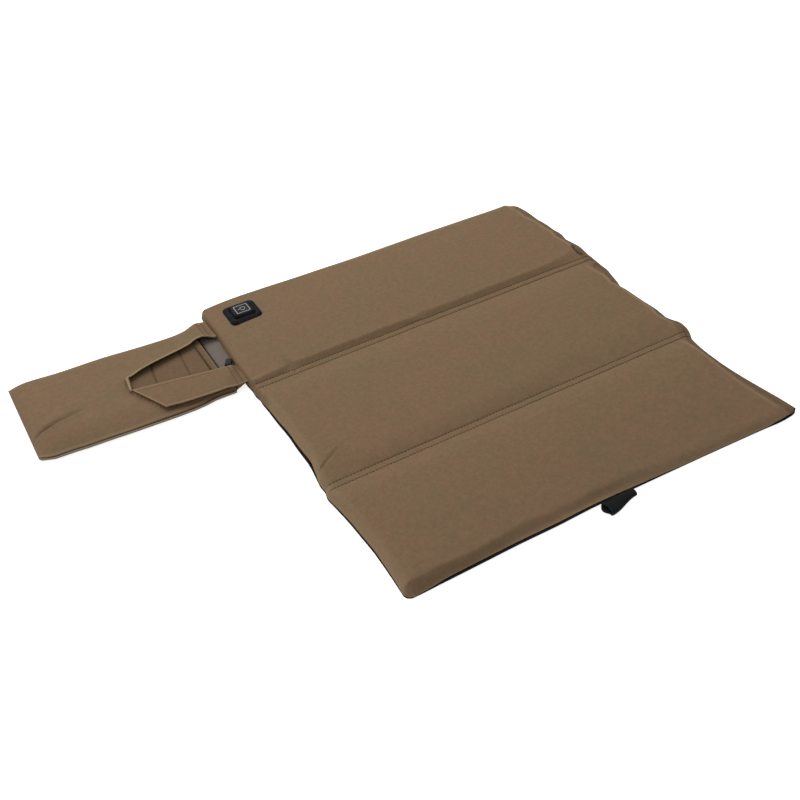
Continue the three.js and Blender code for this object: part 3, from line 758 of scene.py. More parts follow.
def bend(piece, axis, place, reach):
    """Bakes a piece's transform into its mesh; it works out the reach about a hinge line but does not bend
    it.
    """
    low, high = [0.0, 0.0, 0.0], [0.0, 0.0, 0.0]
    low[axis] = (place - reach) * MM
    high[axis] = (place + reach) * MM
    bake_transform(piece)


def dress(piece, body, slot, *nodes):
    """The piece rides on a body if one is given and hides the CAD nodes that it stands for; slot is not
    used.
    """
    if body:
        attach(piece, body)
    if nodes:
        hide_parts(*nodes)


# %% [markdown]
# ## The pad's outline
# Sewn edges are never straight. The sides wander by a few millimetres, bulge where a web's ends pull the
# panels together, and the corners are round. We keep the CAD's straight rectangle as the "pattern" and move
# every pattern point to its real place with one function, so canvas, base and stitches all agree.

# %% Outline
HALF_WIDTH = 176.0
HALF_LENGTH = 198.0
REAR_HINGES = (55.5, 68.5)
FRONT_HINGES = (-82.0, -69.0)
CORNER = {(-1, 1): 3.5, (1, 1): 5.0, (-1, -1): 7.0, (1, -1): 2.5}
right_edge = along([(-198, 1.6), (-188, 0.8), (-180, -0.2), (-160, -3.2), (-140, -5.8), (-120, -7.3),
                    (-100, -7.5), (-92, -6.8), (-84, -6.1), (-78, -3.1), (-72, -0.3), (-66, 1.5),
                    (-60, 2.2), (-52, -1.3), (-45, -3.1), (-35, -2.1), (-15, -3.8), (5, -4.8), (15, -5.8),
                    (25, -2.8), (35, -0.8), (45, 1.2), (54, 0.9), (66, 1.5), (72, 1.9), (80, 2.9),
                    (90, 4.2), (100, 2.7), (110, 1.2), (120, 3.2), (130, 1.9), (140, 2.0), (150, 1.2),
                    (160, -0.1), (170, 0.3), (180, 0.0), (198, -2.0)])
left_edge = along([(-198, -0.8), (-180, 0.3), (-165, 0.8), (-149, 1.1), (-130, 0.3), (-113, -0.4),
                   (-100, -1.5), (-90, -2.4), (-82, -3.2), (-74, -1.6), (-66, -2.1), (-58, -1.0),
                   (-50, 0.0), (-40, 1.2), (-20, 1.0), (0, 1.6), (20, 0.8), (40, 0.7), (48, 0.3), (54, 0.8),
                   (62, -0.4), (69, 0.1), (80, -0.6), (100, -0.9), (125, 0.0), (155, 1.3), (180, 1.4),
                   (198, 2.4)])
front_edge = along([(-176, -0.4), (-160, -0.2), (-140, 0.0), (-110, 0.6), (-80, 1.2), (-50, 1.1),
                    (-35, 1.6), (-14, 2.1), (22, 1.5), (50, 1.3), (80, 0.8), (110, 0.0), (140, -1.0),
                    (158, -2.2), (168, -1.6), (176, 0.2)])
rear_edge = along([(-176, -0.8), (-160, -0.8), (-120, -0.8), (-80, -0.6), (-40, 0.2), (40, 0.2),
                   (110, -1.0), (148, -2.0), (160, -2.0), (170, -3.6), (176, -5.2)])
black_left = along([(-198, 0.1), (-120, 0.5), (-86, 0.2), (-66, 0.0), (-54, 0.6), (-40, 1.2), (-20, 1.0),
                    (10, 0.8), (36, 0.5), (52, 0.0), (198, 0.0)])
black_front = along([(-176, 0.0), (-164, 0.0), (-150, 0.5), (-140, 0.9), (-60, 1.0), (0, 0.9), (40, 0.4),
                     (70, 0.0), (146, 0.0), (154, 0.9), (165, 1.3), (173, 1.1), (176, 0.3)])


def placed(u, v, spare=0.0, tuck=0.0):
    """The real plan place of a pattern point; spare pushes the edges out, tuck draws the canvas in."""
    u, v = np.asarray(u, float), np.asarray(v, float)
    x, y = u.copy(), v.copy()
    for (sx, sy), radius in CORNER.items():
        a = sx * u - (HALF_WIDTH - radius)
        b = sy * v - (HALF_LENGTH - radius)
        inside = (a > 0) & (b > 0)
        a, b = np.where(inside, a, 1), np.where(inside, b, 1)
        pull = np.maximum(a, b) / np.hypot(a, b)
        x = np.where(inside, sx * (HALF_WIDTH - radius + a * pull), x)
        y = np.where(inside, sy * (HALF_LENGTH - radius + b * pull), y)
    right = step((u - 70) / 106)
    left = step((-u - 70) / 106)
    front = step((-v - 120) / 78)
    rear = step((v - 120) / 78)
    out_x = right * (right_edge(v) + spare) - left * (-left_edge(v) + spare - tuck * black_left(v))
    out_y = rear * (rear_edge(u) + spare) - front * (-front_edge(u) + spare - tuck * black_front(u))
    return x + out_x, y + out_y


print("right side wanders mm", round(float(np.ptp(right_edge(np.linspace(-198, 198, 99)))), 1))

# %% [markdown]
# ## Heights of the canvas
# A padded panel rises from its seam in a round roll, then lies nearly flat. At the sewn webs the canvas is
# drawn down onto the base: the rear panel ends there in a small steep wall, and the middle and front panels
# swell up gently behind their stitches. The right side has a fold instead of a roll, with a crisp crease
# about 14 mm in, and the front edge thins out towards its right end. All of this is one height formula.

# %% Rolls and seams
CROWN = 12.1
WEB_TOP = 8.6
GROOVE = {"rear": (67.2, 61.3), "front": (-74.8, -80.9)}
crease_width = along([(-198, 9), (-185, 11), (-157, 12.5), (-107, 10.5), (-75, 13), (-36, 9.5), (0, 8.5),
                      (29, 12), (45, 16), (75, 13), (112, 12), (134, 12.5), (177, 15.5), (198, 16)])
rim_left = along([(-198, 1.3), (-180, 1.8), (-150, 2.5), (-100, 2.2), (-84, 1.8), (-72, 2.2), (-60, 4.2),
                  (-46, 4.8), (-20, 4.5), (10, 3.8), (35, 3.0), (52, 2.0), (64, 1.6), (120, 1.8),
                  (198, 2.4)])
rim_front = along([(-176, 1.2), (-162, 1.4), (-140, 3.0), (-80, 3.2), (0, 2.7), (40, 1.6), (70, 0.9),
                   (140, 0.8), (152, 1.9), (164, 1.9), (176, 0.7)])
roll_width = along([(-176, 6), (-165, 6.4), (-130, 6.8), (-100, 7.6), (-70, 8.8), (-10, 10), (50, 9.5),
                    (176, 9)])
front_taper = along([(-176, 2.0), (-130, 2.8), (-60, 4.8), (0, 6.0), (60, 7.0), (120, 7.6), (176, 7.2)])
wall_top = along([(-176, 72.4), (-150, 72.6), (-142, 74.4), (-137, 81), (-133, 75), (-127, 73.4),
                  (-60, 73.6), (-24, 73.0), (-14, 72.4), (-8, 75.5), (-2, 74.0), (10, 73.6), (80, 73.8),
                  (130, 74.4), (150, 78), (176, 82)])
wall_foot = along([(-176, 66.2), (-150, 66.2), (-128, 66.4), (-40, 66.6), (-16, 64.8), (-8, 64.0),
                   (0, 65.6), (80, 66.2), (140, 65.6), (176, 65.0)])
crest_ripple = ripple(3, 26, 1.0)
seam_ripple = ripple(8, 13, 1.0)
edge_ripple = ripple(21, 22, 1.0)
broad_relief = dapple(31, 70.0)
small_relief = dapple(47, 24.0)
RIGHT_TUCK = [(170.5, 90), (165.2, 87), (163.6, 81), (164.6, 74.5), (168.5, 68)]
SEAM_PLEAT = [(-137.6, 58), (-137.4, 68), (-138.2, 79), (-139.6, 92)]
SIDE_CREASE = [(-175, -60.3), (-170.8, -57), (-163.5, -51.8), (-156.3, -47), (-150.2, -43.5)]


def round_roll(s, width):
    """A stuffed edge: steep at the seam and level after its width."""
    t = np.clip(s / width, 0, 1)
    return (1 - (1 - t) ** 2.5) ** 0.8


def slope_roll(s, width):
    """A flat hem, then an even slope up to a soft border."""
    t = np.clip(s / width, 0, 1)
    hem, hem_rise = 0.16, 0.1
    return hem_rise * np.clip(t / hem, 0, 1) + (1 - hem_rise) * step((t - 0.1) / 0.9)


def folded_roll(s, width):
    """A flat flange, a groove and a straight slope up to a crease."""
    t = s / width
    return 0.5 * (t + 1 - np.sqrt((t - 1) ** 2 + 0.012))


def swell(distance, width, power=1.8):
    """The gentle rise of a panel from its stitches."""
    return 1 - (1 - np.clip(distance / width, 0, 1)) ** power


# %% Height formula


def near_web(v):
    """Distance from the nearest web, 0 between its hinge lines."""
    to_rear, to_front = (np.maximum(low - v, v - high) for low, high in (REAR_HINGES, FRONT_HINGES))
    return np.maximum(np.minimum(to_rear, to_front), 0.0)


def rim_height(u, v):
    """The height of the seam between canvas and base, which follows the nearest edge."""
    side_s, end_s = HALF_WIDTH - np.abs(u), HALF_LENGTH - np.abs(v)
    toward_end = side_s / (side_s + end_s + 0.01)
    rim_side = np.where(u < 0, rim_left(v), 3.9 + 0.9 * np.exp(-near_web(v) / 9))
    rim_end = np.where(v < 0, rim_front(u), 4.0)
    return rim_side + (rim_end - rim_side) * toward_end


def lengthwise_height(u, v):
    """The top without its side edges: walls, webs and swelling panels along the cushion."""
    crown = CROWN + 0.4 * np.sin(np.clip((u / HALF_WIDTH + 1) / 2, 0, 1) * np.pi)
    crown = crown - 2.4 * np.exp(-(u + HALF_WIDTH) / 15) * step((v - 66) / 12)
    foot, top = wall_foot(u), wall_top(u)
    (_, rear_row), (middle_row, front_row) = GROOVE["rear"], GROOVE["front"]
    wall = step((v - foot) / (top - foot)) + 0.04 * hill(v - top, 3.0)
    rear = WEB_TOP + 0.5 * np.clip((v - 60) / 6, 0, 1) + (crown - WEB_TOP - 0.5) * wall
    front_width = 34 - 14 * step((u + 160) / 30) * step((70 - u) / 60)
    rise = np.minimum(swell(rear_row - v, 30), swell(v - middle_row, front_width))
    middle = WEB_TOP + (crown - WEB_TOP) * rise
    toward_front = np.clip((-v - 112) / 86, 0, 1)
    crown_front = crown - front_taper(u) * (step(toward_front) + toward_front ** 2) / 2
    front = WEB_TOP + (crown_front - WEB_TOP) * swell(front_row - v, 22)
    height = np.where(v > middle_row, middle, np.where(v > front_row, WEB_TOP, front))
    height = np.where(v > rear_row, rear, height)
    return height - sum(0.3 * hill(v - row, 0.7) for rows in GROOVE.values() for row in rows)


def canvas_height(u, v):
    """The canvas's top at a pattern point, in mm."""
    u, v = np.broadcast_arrays(np.asarray(u, float), np.asarray(v, float))
    top = lengthwise_height(u, v)
    seam_near = np.exp(-near_web(v) / 9)
    front_s, rear_s = v + HALF_LENGTH, HALF_LENGTH - v
    side_s = HALF_WIDTH - np.abs(u)
    front_kind = step(u / 70)
    front_roll = (slope_roll(front_s, roll_width(u) + 1.6 * edge_ripple(u + 900)) * (1 - front_kind)
                  + round_roll(front_s, roll_width(u)) * front_kind)
    rear_roll = round_roll(rear_s, 3.5 + 13.5 * step((u + 150) / 170))
    side_left = round_roll(u + HALF_WIDTH, 3.6 + 3 * step((40 - v) / 30))
    width_right = crease_width(v) - (crease_width(v) - 7.0) * np.exp(-(near_web(v) / 6) ** 2)
    side_right = folded_roll(HALF_WIDTH - u, width_right)
    end_s = np.minimum(front_s, rear_s)
    rim = rim_height(u, v)
    height = rim + (top - rim) * np.clip(side_left * side_right, 0, 1.2) * front_roll * rear_roll
    s = HALF_WIDTH - u
    crest = 0.5 * hill(s - width_right, 1.8) * (1 - seam_near)
    flange = (0.75 * hill(s - 2.2, 1.4) - 0.8 * hill(s - 4.8, 0.9)) * step(end_s / 20)
    flange = flange * (1 - 0.6 * seam_near)
    pucker = 0.22 * seam_near * seam_ripple(u) * step(side_s / 12)
    inside = step(np.minimum(side_s, end_s) / 10)
    relief = (0.16 * broad_relief(u, v) + 0.07 * small_relief(u, v)) * (1 - seam_near)
    wander = 0.16 * crest_ripple(u * 0.6 + v * 0.35) * (1 - seam_near)
    ragged = 0.5 * edge_ripple(u + 300) * hill(front_s - roll_width(u), 5) * (1 - front_kind)
    folds = sum(crease(u, v, *fold) for fold in ((RIGHT_TUCK, 3.4, 1.3, 1.1), (SIDE_CREASE, 0.8, 0.8, 1.0),
                                                 (SEAM_PLEAT, 1.3, 0.9, 0.9)))
    return height + crest + flange + pucker + (relief + wander + ragged) * inside + folds


def canvas_points(u, v):
    """Points of the canvas's top at pattern points."""
    return xyz(*placed(u, v, tuck=1.0), canvas_height(u, v))


def canvas_grid(us, vs):
    """Points of the canvas at the crossings of two rows of stations."""
    return canvas_points(*np.meshgrid(us, vs))


print("height at the middle", round(float(canvas_height(0, 0)), 2), "on a web",
      round(float(canvas_height(0, 62)), 2))

# %% [markdown]
# ## Panels and webs
# The three canvas panels end 2.5 mm beyond each hinge line. The cloth between, across each web, is split at
# the middle of the web into two halves, one beside each hinge. Every piece uses the same stations across,
# so the borders meet point for point.

# %% Stations
REACH = 2.5
EDGE_STEPS = (0.35, 0.9, 1.6, 2.5, 3.6, 4.8, 6.2, 7.8, 9.6, 11.5, 13.4, 15.3, 17.3, 19.5)
RIGHT_STEPS = (0.3, 0.8, 1.5, 2.3, 3.1, 3.9, 4.6, 5.4, 6.3, 7.2, 8.1, 9, 9.9, 10.8, 11.7, 12.6, 14, 15.5,
               17.5, 20)
ACROSS = np.unique(np.concatenate([stations(-HALF_WIDTH, -122, 1.5, EDGE_STEPS[:8]),
                                   stations(-122, 150, 2.6),
                                   stations(150, HALF_WIDTH, 2.6, (), RIGHT_STEPS)]))
WEB_STEPS = (0.7, 1.4, 2.1, 2.8, 3.6, 4.4, 5.2, 6.2, 7.2, 8.4, 9.7, 11.1, 12.7, 14.5, 16.5, 18.7)
PANELS = {"rear": (REAR_HINGES[1] + REACH, HALF_LENGTH, WEB_STEPS, EDGE_STEPS),
          "middle": (FRONT_HINGES[1] + REACH, REAR_HINGES[0] - REACH, WEB_STEPS, WEB_STEPS),
          "front": (-HALF_LENGTH, FRONT_HINGES[0] - REACH, EDGE_STEPS, WEB_STEPS)}
WEBS = {"rear": (REAR_HINGES, "middle_panel", "rear_panel"),
        "front": (FRONT_HINGES, "front_panel", "middle_panel")}
print("stations across", len(ACROSS))

# %% [markdown]
# ## Swelling by simulation
# Stuffed canvas is never as even as a formula. We hang a coarse sheet of each panel by its border, cut it a
# little too large, and let air pressure push it up for twenty frames. What the cloth solver adds is scaled
# to about a millimetre and laid over the formula with smooth splines. It could be sculpted by hand, but the
# solver puts the slack where a real held border leaves it: along the seams and into the corners.

# %% Cloth simulation
SIM_PITCH = 5.0
SIM_FRAMES = 20
SIM_PRESSURE = 4.0
SIM_SPARE = 0.01
SWELL_CAP = 1.0


def swollen(name, low, high):
    """Stations of a coarse sheet over one panel, and what pressure adds to its height in mm."""
    us = np.linspace(-HALF_WIDTH, HALF_WIDTH, int(2 * HALF_WIDTH / SIM_PITCH) + 1)
    vs = np.linspace(low, high, int((high - low) / SIM_PITCH) + 1)
    grid = canvas_grid(us, vs)
    sheet = make_piece(f"{name}_trial_sheet", grid, grid_faces(len(vs), len(us)))
    border = np.ones(grid.shape[:2], bool)
    border[1:-1, 1:-1] = False
    held = sheet.vertex_groups.new(name="held")
    held.add([int(i) for i in np.flatnonzero(border)], 1.0, "REPLACE")
    cloth = sheet.modifiers.new("cloth", "CLOTH")
    cloth.settings.vertex_group_mass = "held"
    cloth.settings.use_pressure = True
    cloth.settings.uniform_pressure_force = SIM_PRESSURE
    cloth.settings.effector_weights.gravity = 0.0
    cloth.settings.shrink_min = -SIM_SPARE
    scene = bpy.context.scene
    for frame_number in range(1, SIM_FRAMES + 1):
        scene.frame_set(frame_number)
    moved = np.empty(len(sheet.data.vertices) * 3, np.float32)
    sheet.evaluated_get(bpy.context.evaluated_depsgraph_get()).data.vertices.foreach_get("co", moved)
    rise = moved.reshape(len(vs), len(us), 3)[..., 2] / MM - grid[..., 2]
    scene.frame_set(1)
    bpy.data.meshes.remove(sheet.data)
    print(name, "sheet rose mm", round(float(rise.max()), 2), "before it was scaled")
    return us, vs, rise * SWELL_CAP / max(float(np.abs(rise).max()), SWELL_CAP)


def spline_matrix(at, places):
    """Cubic B-spline weights of evenly spaced places for other places."""
    t = np.interp(at, places, np.arange(len(places)))
    k = np.clip(np.floor(t).astype(int), 0, len(places) - 2)
    f = t - k
    weights = np.stack([(1 - f) ** 3, 3 * f ** 3 - 6 * f ** 2 + 4, -3 * f ** 3 + 3 * f ** 2 + 3 * f + 1,
                        f ** 3], axis=-1) / 6
    index = np.clip(k[:, None] + np.arange(-1, 3), 0, len(places) - 1)
    matrix = np.zeros((len(at), len(places)))
    np.add.at(matrix, (np.arange(len(at))[:, None], index), weights)
    return matrix


def panel_lift(name, us, vs):
    """The simulated lift at the crossings of finer stations, 0 at the borders."""
    low, high = PANELS[name][:2]
    coarse_us, coarse_vs, rise = swollen(name, low, high)
    lift = spline_matrix(vs, coarse_vs) @ rise @ spline_matrix(us, coarse_us).T
    u, v = np.meshgrid(us, vs)
    from_border = np.minimum(HALF_WIDTH - np.abs(u), np.minimum(v - low, high - v))
    return lift * step(from_border / 7)


# %% Canvas panels


def canvas_wear_and_light(us, vs):
    """Worn seams and painted highlights above 0, painted shade in grooves, tucks and folds below 0."""
    u, v = np.meshgrid(us, vs)
    from_left, from_right = HALF_WIDTH + u, HALF_WIDTH - u
    from_end = HALF_LENGTH - np.abs(v)
    front_part = step((50 - v) / 20)
    # Light along the ends and, in front, the left side: worn edges, partly painted highlight.
    light = 0.6 * np.exp(-from_end / 1.1)
    light = light + front_part * (0.6 * np.exp(-from_left / 1.1) + 0.3 * hill(from_left - 2, 4))
    # Painted highlight along the right crease.
    crest = (0.65 - 0.2 * step((-84 - v) / 30)) * (1 - np.exp(-near_web(v) / 9))
    light = light + crest * hill(from_right - crease_width(v) - 0.7, 1.3) * step(from_end / 20)
    # Painted shade on the slope past the right crease, and darker along the right edge.
    dark = 0.3 * step((crease_width(v) - from_right) / 2) + 0.4 * np.exp(-from_right)
    # Painted shade in the stitched grooves.
    for upper_row, lower_row in GROOVE.values():
        dark = dark + 0.3 * hill(v - upper_row, 0.5)
        dark = dark + (0.4 + 0.5 * step((u + 60) / 160)) * hill(v - lower_row, 0.65)
    # Painted shadow in the tucks and the side crease.
    for line, depth, width in ((RIGHT_TUCK, 2.2, 1.2), (SIDE_CREASE, 0.5, 0.7)):
        d, share = line_distance(u, v, line)
        dark = dark + depth * hill(d, width) * step(share / 0.2) * step((1 - share) / 0.3)
    # Painted shade in the flange's groove and along the front-left hem.
    flange = 0.5 * hill(from_right - 4.8, 0.7)
    hem = 0.2 * step((8 - (v + HALF_LENGTH)) / 5) * step((-50 - u) / 80)
    return np.clip(light - dark - flange - hem, -1, 1)


for name, (low, high, near_low, near_high) in PANELS.items():
    rows = stations(low, high, 1.7, near_low, near_high)
    grid = canvas_grid(ACROSS, rows)
    grid[..., 2] += panel_lift(name, ACROSS, rows)
    panel = cloth_piece(f"{name}_pad_canvas", grid, canvas, 1.0, canvas_wear_and_light(ACROSS, rows))
    dress(panel, f"{name}_panel", "brown_canvas", f"{name}_cover")

# %% Canvas over the webs


def web_halves(name):
    """(part, first row, last row, hinge place, bodies before and after it) of both halves of a web."""
    (low, high), ahead, behind = WEBS[name]
    middle = (low + high) / 2
    return [("fore", low - REACH, middle, low, (ahead, f"{name}_web")),
            ("aft", middle, high + REACH, high, (f"{name}_web", behind))]


def web_cloth(kind, slot, node, grid_at, across, count, **cloth):
    """The cloth over both webs, in halves, one beside each hinge."""
    for name in WEBS:
        for part, low, high, hinge, bodies in web_halves(name):
            rows = np.linspace(low, high, count)
            wear_and_painted_light = canvas_wear_and_light(across, rows) if kind == "canvas" else None
            half_web = cloth_piece(f"{name}_web_{kind}_{part}", grid_at(across, rows), wear_and_painted_light=wear_and_painted_light, **cloth)
            bend(half_web, 1, hinge, REACH)
            dress(half_web, None, slot, *([f"{name}_web_{node}"] if part == "fore" else []))


web_cloth("canvas", "brown_canvas", "cover", canvas_grid, ACROSS, 25, material=canvas, thick=0.9)
print("web halves", 2 * len(WEBS))

# %% [markdown]
# ## The base cloth
# Black cloth makes the underside and the low wall that shows as a thin black line under the canvas. It lies
# flat on the table, turns up sharply at the outer edges and more gently at the webs, where it must leave
# room to fold. It uses the same pattern and outline as the canvas, with fewer rows because it is flat.

# %% Base cloth
WALL = 2.6
BASE_NEAR = (0.12, 0.4, 0.9, 1.6, 2.6, 5)
BASE_WEB_NEAR = (1.2, 2.6, 4.2, 6.2, 8.6, 11)
BASE_ACROSS = stations(-HALF_WIDTH, HALF_WIDTH, 8.0, BASE_NEAR, BASE_NEAR)


def base_height(u, v):
    """The underside of the base cloth at a pattern point, in mm."""
    u, v = np.broadcast_arrays(np.asarray(u, float), np.asarray(v, float))
    near = near_web(v)
    under = 4.7 * (1 - np.clip(near / 13, 0, 1)) ** 2.4
    outward = np.clip(u + 2.5 * np.sign(u), -HALF_WIDTH, HALF_WIDTH)
    under = np.clip(canvas_height(outward, v) - 2.6, 0, under)
    rim = rim_height(u, v) - 0.3
    from_edge = np.minimum(HALF_WIDTH - np.abs(u), np.where(near < 30, 99, HALF_LENGTH - np.abs(v)))
    t = np.clip(from_edge / WALL, 0, 1)
    wall = (1 - (1 - t) ** 4) ** 0.25
    return rim - (rim - under) * wall


def base_grid(us, vs):
    """Points of the base cloth, a little proud of the canvas at the seam."""
    u, v = np.meshgrid(us, vs)
    return xyz(*placed(u, v, spare=0.35), base_height(u, v))


for name, (low, high, *steps) in PANELS.items():
    rows = stations(low, high, 9.0, *(BASE_NEAR if near is EDGE_STEPS else BASE_WEB_NEAR for near in steps))
    base = cloth_piece(f"{name}_base_cloth", base_grid(BASE_ACROSS, rows), black_cloth, 0.8, flip=True)
    dress(base, f"{name}_panel", "black_base_cloth", f"{name}_base")
web_cloth("base", "black_base_cloth", "base", base_grid, BASE_ACROSS, 9, material=black_cloth, thick=0.8,
          flip=True)
print("base stations", len(BASE_ACROSS))

# %% [markdown]
# ## Foam and wadding
# Under the canvas lies soft wadding, then the heating tape, then a firmer foam. Nobody sees them while the
# cushion is closed, yet they give it its weight and its feel. Each is a slab whose two sides meet in a
# rounded rim. It follows the outline and keeps a little below the canvas, so it never shows through.

# %% Fillings


def box_mm(node):
    """The low and high corner of a CAD node in mm."""
    low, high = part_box(node)
    return np.array(low) / MM, np.array(high) / MM


def filling(name, low, high, material, room, inset=4.0):
    """A slab between two heights that stays this far below the canvas's top."""
    rows, columns = 40, 90
    middle, size = (low + high) / 2, (high - low) / 2 - inset
    a, b = np.meshgrid(np.sin(np.linspace(-np.pi / 2, np.pi / 2, columns)),
                       np.sin(np.linspace(-np.pi / 2, np.pi / 2, rows)))
    u, v = middle[0] + size[0] * a, middle[1] + size[1] * b
    ceiling = canvas_height(u, v) - room
    top = np.minimum(high[2], ceiling)
    bottom = np.minimum(low[2], ceiling - 0.8)
    rim = np.maximum((np.abs(a) - 1) * size[0], (np.abs(b) - 1) * size[1]) + 4
    drop = np.sqrt(np.clip(1 - np.clip(rim / 4, 0, 1) ** 2, 0, 1))
    x, y = placed(u, v)
    core, half = (top + bottom) / 2, (top - bottom) / 2 * drop
    points = [xyz(x, y, core + half), xyz(x, y, core - half)]
    faces = grid_faces(rows, columns) + grid_faces(rows, columns, flip=True, offset=rows * columns)
    piece = make_piece(name, points, faces, material)
    weld = piece.modifiers.new("weld", "WELD")
    weld.merge_threshold = 0.00002
    return piece


for name in PANELS:
    for layer, material, room in (("foam", foam, 3.4), ("wadding", wadding_cloth, 1.8)):
        slab = filling(f"{name}_pad_{layer}", *box_mm(f"{name}_{layer}"), material, room)
        dress(slab, f"{name}_panel", layer, f"{name}_{layer}")
print("fillings for", list(PANELS))

# %% [markdown]
# ## Stitches
# Two rows of thread run along each web. A stitch is a short thread that dives into the cloth at both ends.
# A curve per stitch would be hundreds of objects, so one mesh holds a whole row: each stitch is a small
# six-sided spindle, bent a little into the cloth.

# %% Stitch maker


def stitch_row(name, route, material, pitch=3.0, length=2.3, thick=0.55, lift=0.1):
    """One mesh of stitches along a route of points in mm."""
    place = np.concatenate([[0], np.cumsum(np.linalg.norm(np.diff(route, axis=0), axis=1))])
    rings, sides = 5, 6
    turns = circle_turns(sides)[:, None]
    bow = np.sin(np.linspace(0, np.pi, rings))[:, None, None]
    half_thick = thick / 2 * (0.45 + 0.55 * bow)
    points, faces = [], []
    for centre in np.arange(pitch / 2, place[-1] - pitch / 2, pitch):
        at = centre + np.linspace(-0.5, 0.5, rings) * length
        middle = xyz(*(np.interp(at, place, route[:, k]) for k in range(3)))
        across, up = across_and_up(middle[-1] - middle[0])
        faces += capped_faces(rings, sides, offset=len(points) * rings * sides)
        points.append(middle[:, None] + across * half_thick * np.cos(turns)
                      + up * (half_thick * np.sin(turns) + lift + 0.28 * bow - 0.22))
    return make_piece(name, points, faces, material)


# %% Web stitches
us = np.linspace(-HALF_WIDTH + 3, HALF_WIDTH - 2, 700)
for name, rows in GROOVE.items():
    for row, (v, (part, low, high, hinge, bodies)) in enumerate(zip(rows, web_halves(name)[::-1])):
        line = stitch_row(f"{name}_web_stitches_{row + 1}", canvas_points(us, np.full(len(us), v)), thread)
        bend(line, 1, hinge, REACH)
        dress(line, None, "brown_canvas")
print("stitch rows", sum(len(r) for r in GROOVE.values()))

# %% [markdown]
# ## The switch
# A black silicone frame with a sloping rim sits on the canvas, and a raised cap stands in it. The cap's top
# carries a thin pale square round a power symbol. Both are lofts: the same rounded square is repeated at
# several heights with its own size, which gives soft moulded edges that a beveled cube does not.

# %% Rounded square lofts


def rounded_square(width, length, radius, count=56):
    """Points round a rounded rectangle about 0, in order."""
    turns = circle_turns(count) + np.pi / count
    corner_x = np.sign(np.cos(turns)) * (width / 2 - radius)
    corner_y = np.sign(np.sin(turns)) * (length / 2 - radius)
    quarter, within = np.divmod(turns / (np.pi / 2), 1)
    spread = (np.clip((within - 0.5) * 1.9 + 0.5, 0, 1) + quarter) * np.pi / 2
    return np.stack([corner_x + radius * np.cos(spread), corner_y + radius * np.sin(spread)], axis=-1)


def loft(name, levels, material, highlight_at):
    """A closed loft of rounded squares: levels are (width, length, radius, height); highlight_at is a
    painted highlight per level.
    """
    rings = [xyz(*(rounded_square(width, length, radius) + SWITCH).T, height)
             for width, length, radius, height in levels]
    wear_and_painted_light = [[highlight_at.get(level, 0.0)] * len(rings[0]) for level in range(len(rings))]
    return make_piece(name, rings, capped_faces(len(rings), len(rings[0])), material, wear_and_painted_light)


SWITCH = np.array((-142.6, 166.4))
SWITCH_TOP = 17.3
# Painted highlights on the frame's outer shoulder and top crest.
bezel = loft("switch_bezel",
             [(30.0, 29.0, 4.6, 10.9), (30.8, 29.8, 4.8, 11.4), (30.6, 29.6, 4.8, 12.7),
              (29.4, 28.4, 4.5, 13.5), (27.8, 26.8, 4.1, 14.0), (26.0, 25.0, 3.7, 14.45),
              (24.4, 23.4, 3.4, 14.7), (23.0, 22.0, 3.1, 14.75), (21.6, 20.6, 2.9, 14.65),
              (20.6, 19.6, 2.8, 14.3), (20.2, 19.2, 2.7, 13.6), (20.2, 19.2, 2.6, 12.95)], silicone,
             {2: 0.2, 6: 0.35, 7: 0.3})
dress(bezel, "rear_panel", "switch_silicone", "switch_base")
# Painted highlights on the cap's shoulder and top.
cap = loft("switch_cap",
           [(19.6, 18.6, 2.6, 13.85), (19.6, 18.6, 2.6, 14.2), (19.0, 18.0, 2.6, 15.3),
            (18.0, 17.0, 2.5, 16.3), (17.0, 16.0, 2.3, 17.0), (16.0, 15.0, 2.0, 17.28),
            (14.4, 13.4, 1.6, SWITCH_TOP), (8, 7, 1.2, 17.2), (3, 2.6, 0.6, 17.15)], silicone,
           {4: 0.25, 5: 0.9, 6: 1.0, 7: 1.0, 8: 1.0})
dress(cap, "switch_key", "switch_silicone", "switch_key")
print("switch stands above the crown by mm", round(SWITCH_TOP - CROWN, 1))

# %% Printed mark
PRINT_HEIGHT = 17.38
PRINT_THICK = 0.08
MARK = SWITCH + (-0.1, -0.3)


def print_ring(name, centre, outer, inner, closed=True):
    """A thin printed band between two outlines of equal point counts."""
    points = [xyz(*(ring + centre).T, PRINT_HEIGHT - drop)
              for ring, drop in ((outer, PRINT_THICK), (outer, 0), (inner, 0), (inner, PRINT_THICK))]
    piece = make_piece(name, points, grid_faces(4, len(outer), wrap=closed), print_paint, smooth=False)
    dress(piece, "switch_key", "switch_silicone")


arc = np.linspace(math.radians(-140), math.radians(140), 40)
ring_turns = np.stack([np.cos(arc), np.sin(arc)], axis=-1)
print_ring("switch_square_print", MARK, rounded_square(12.8, 11.8, 0.5), rounded_square(11.9, 10.9, 0.3))
print_ring("switch_ring_print", MARK + (0.4, 0), 2.7 * ring_turns, 2.25 * ring_turns, False)
print_ring("switch_bar_print", MARK - (2.1, 0), rounded_square(2.9, 0.5, 0.15),
           rounded_square(2.4, 0.02, 0.005))
print("mark is proud by mm", round(PRINT_HEIGHT - SWITCH_TOP, 2))

# %% [markdown]
# ## The pouch
# The pouch holds the power bank. Its grey back lies on the table, its brown face has an open mouth beside
# the pad, and a wide lip lies over the mouth's front edge. The face is one grid whose rows run round the
# mouth: the middle rows stop at its left end. Its edges come from curves through points placed one by one.

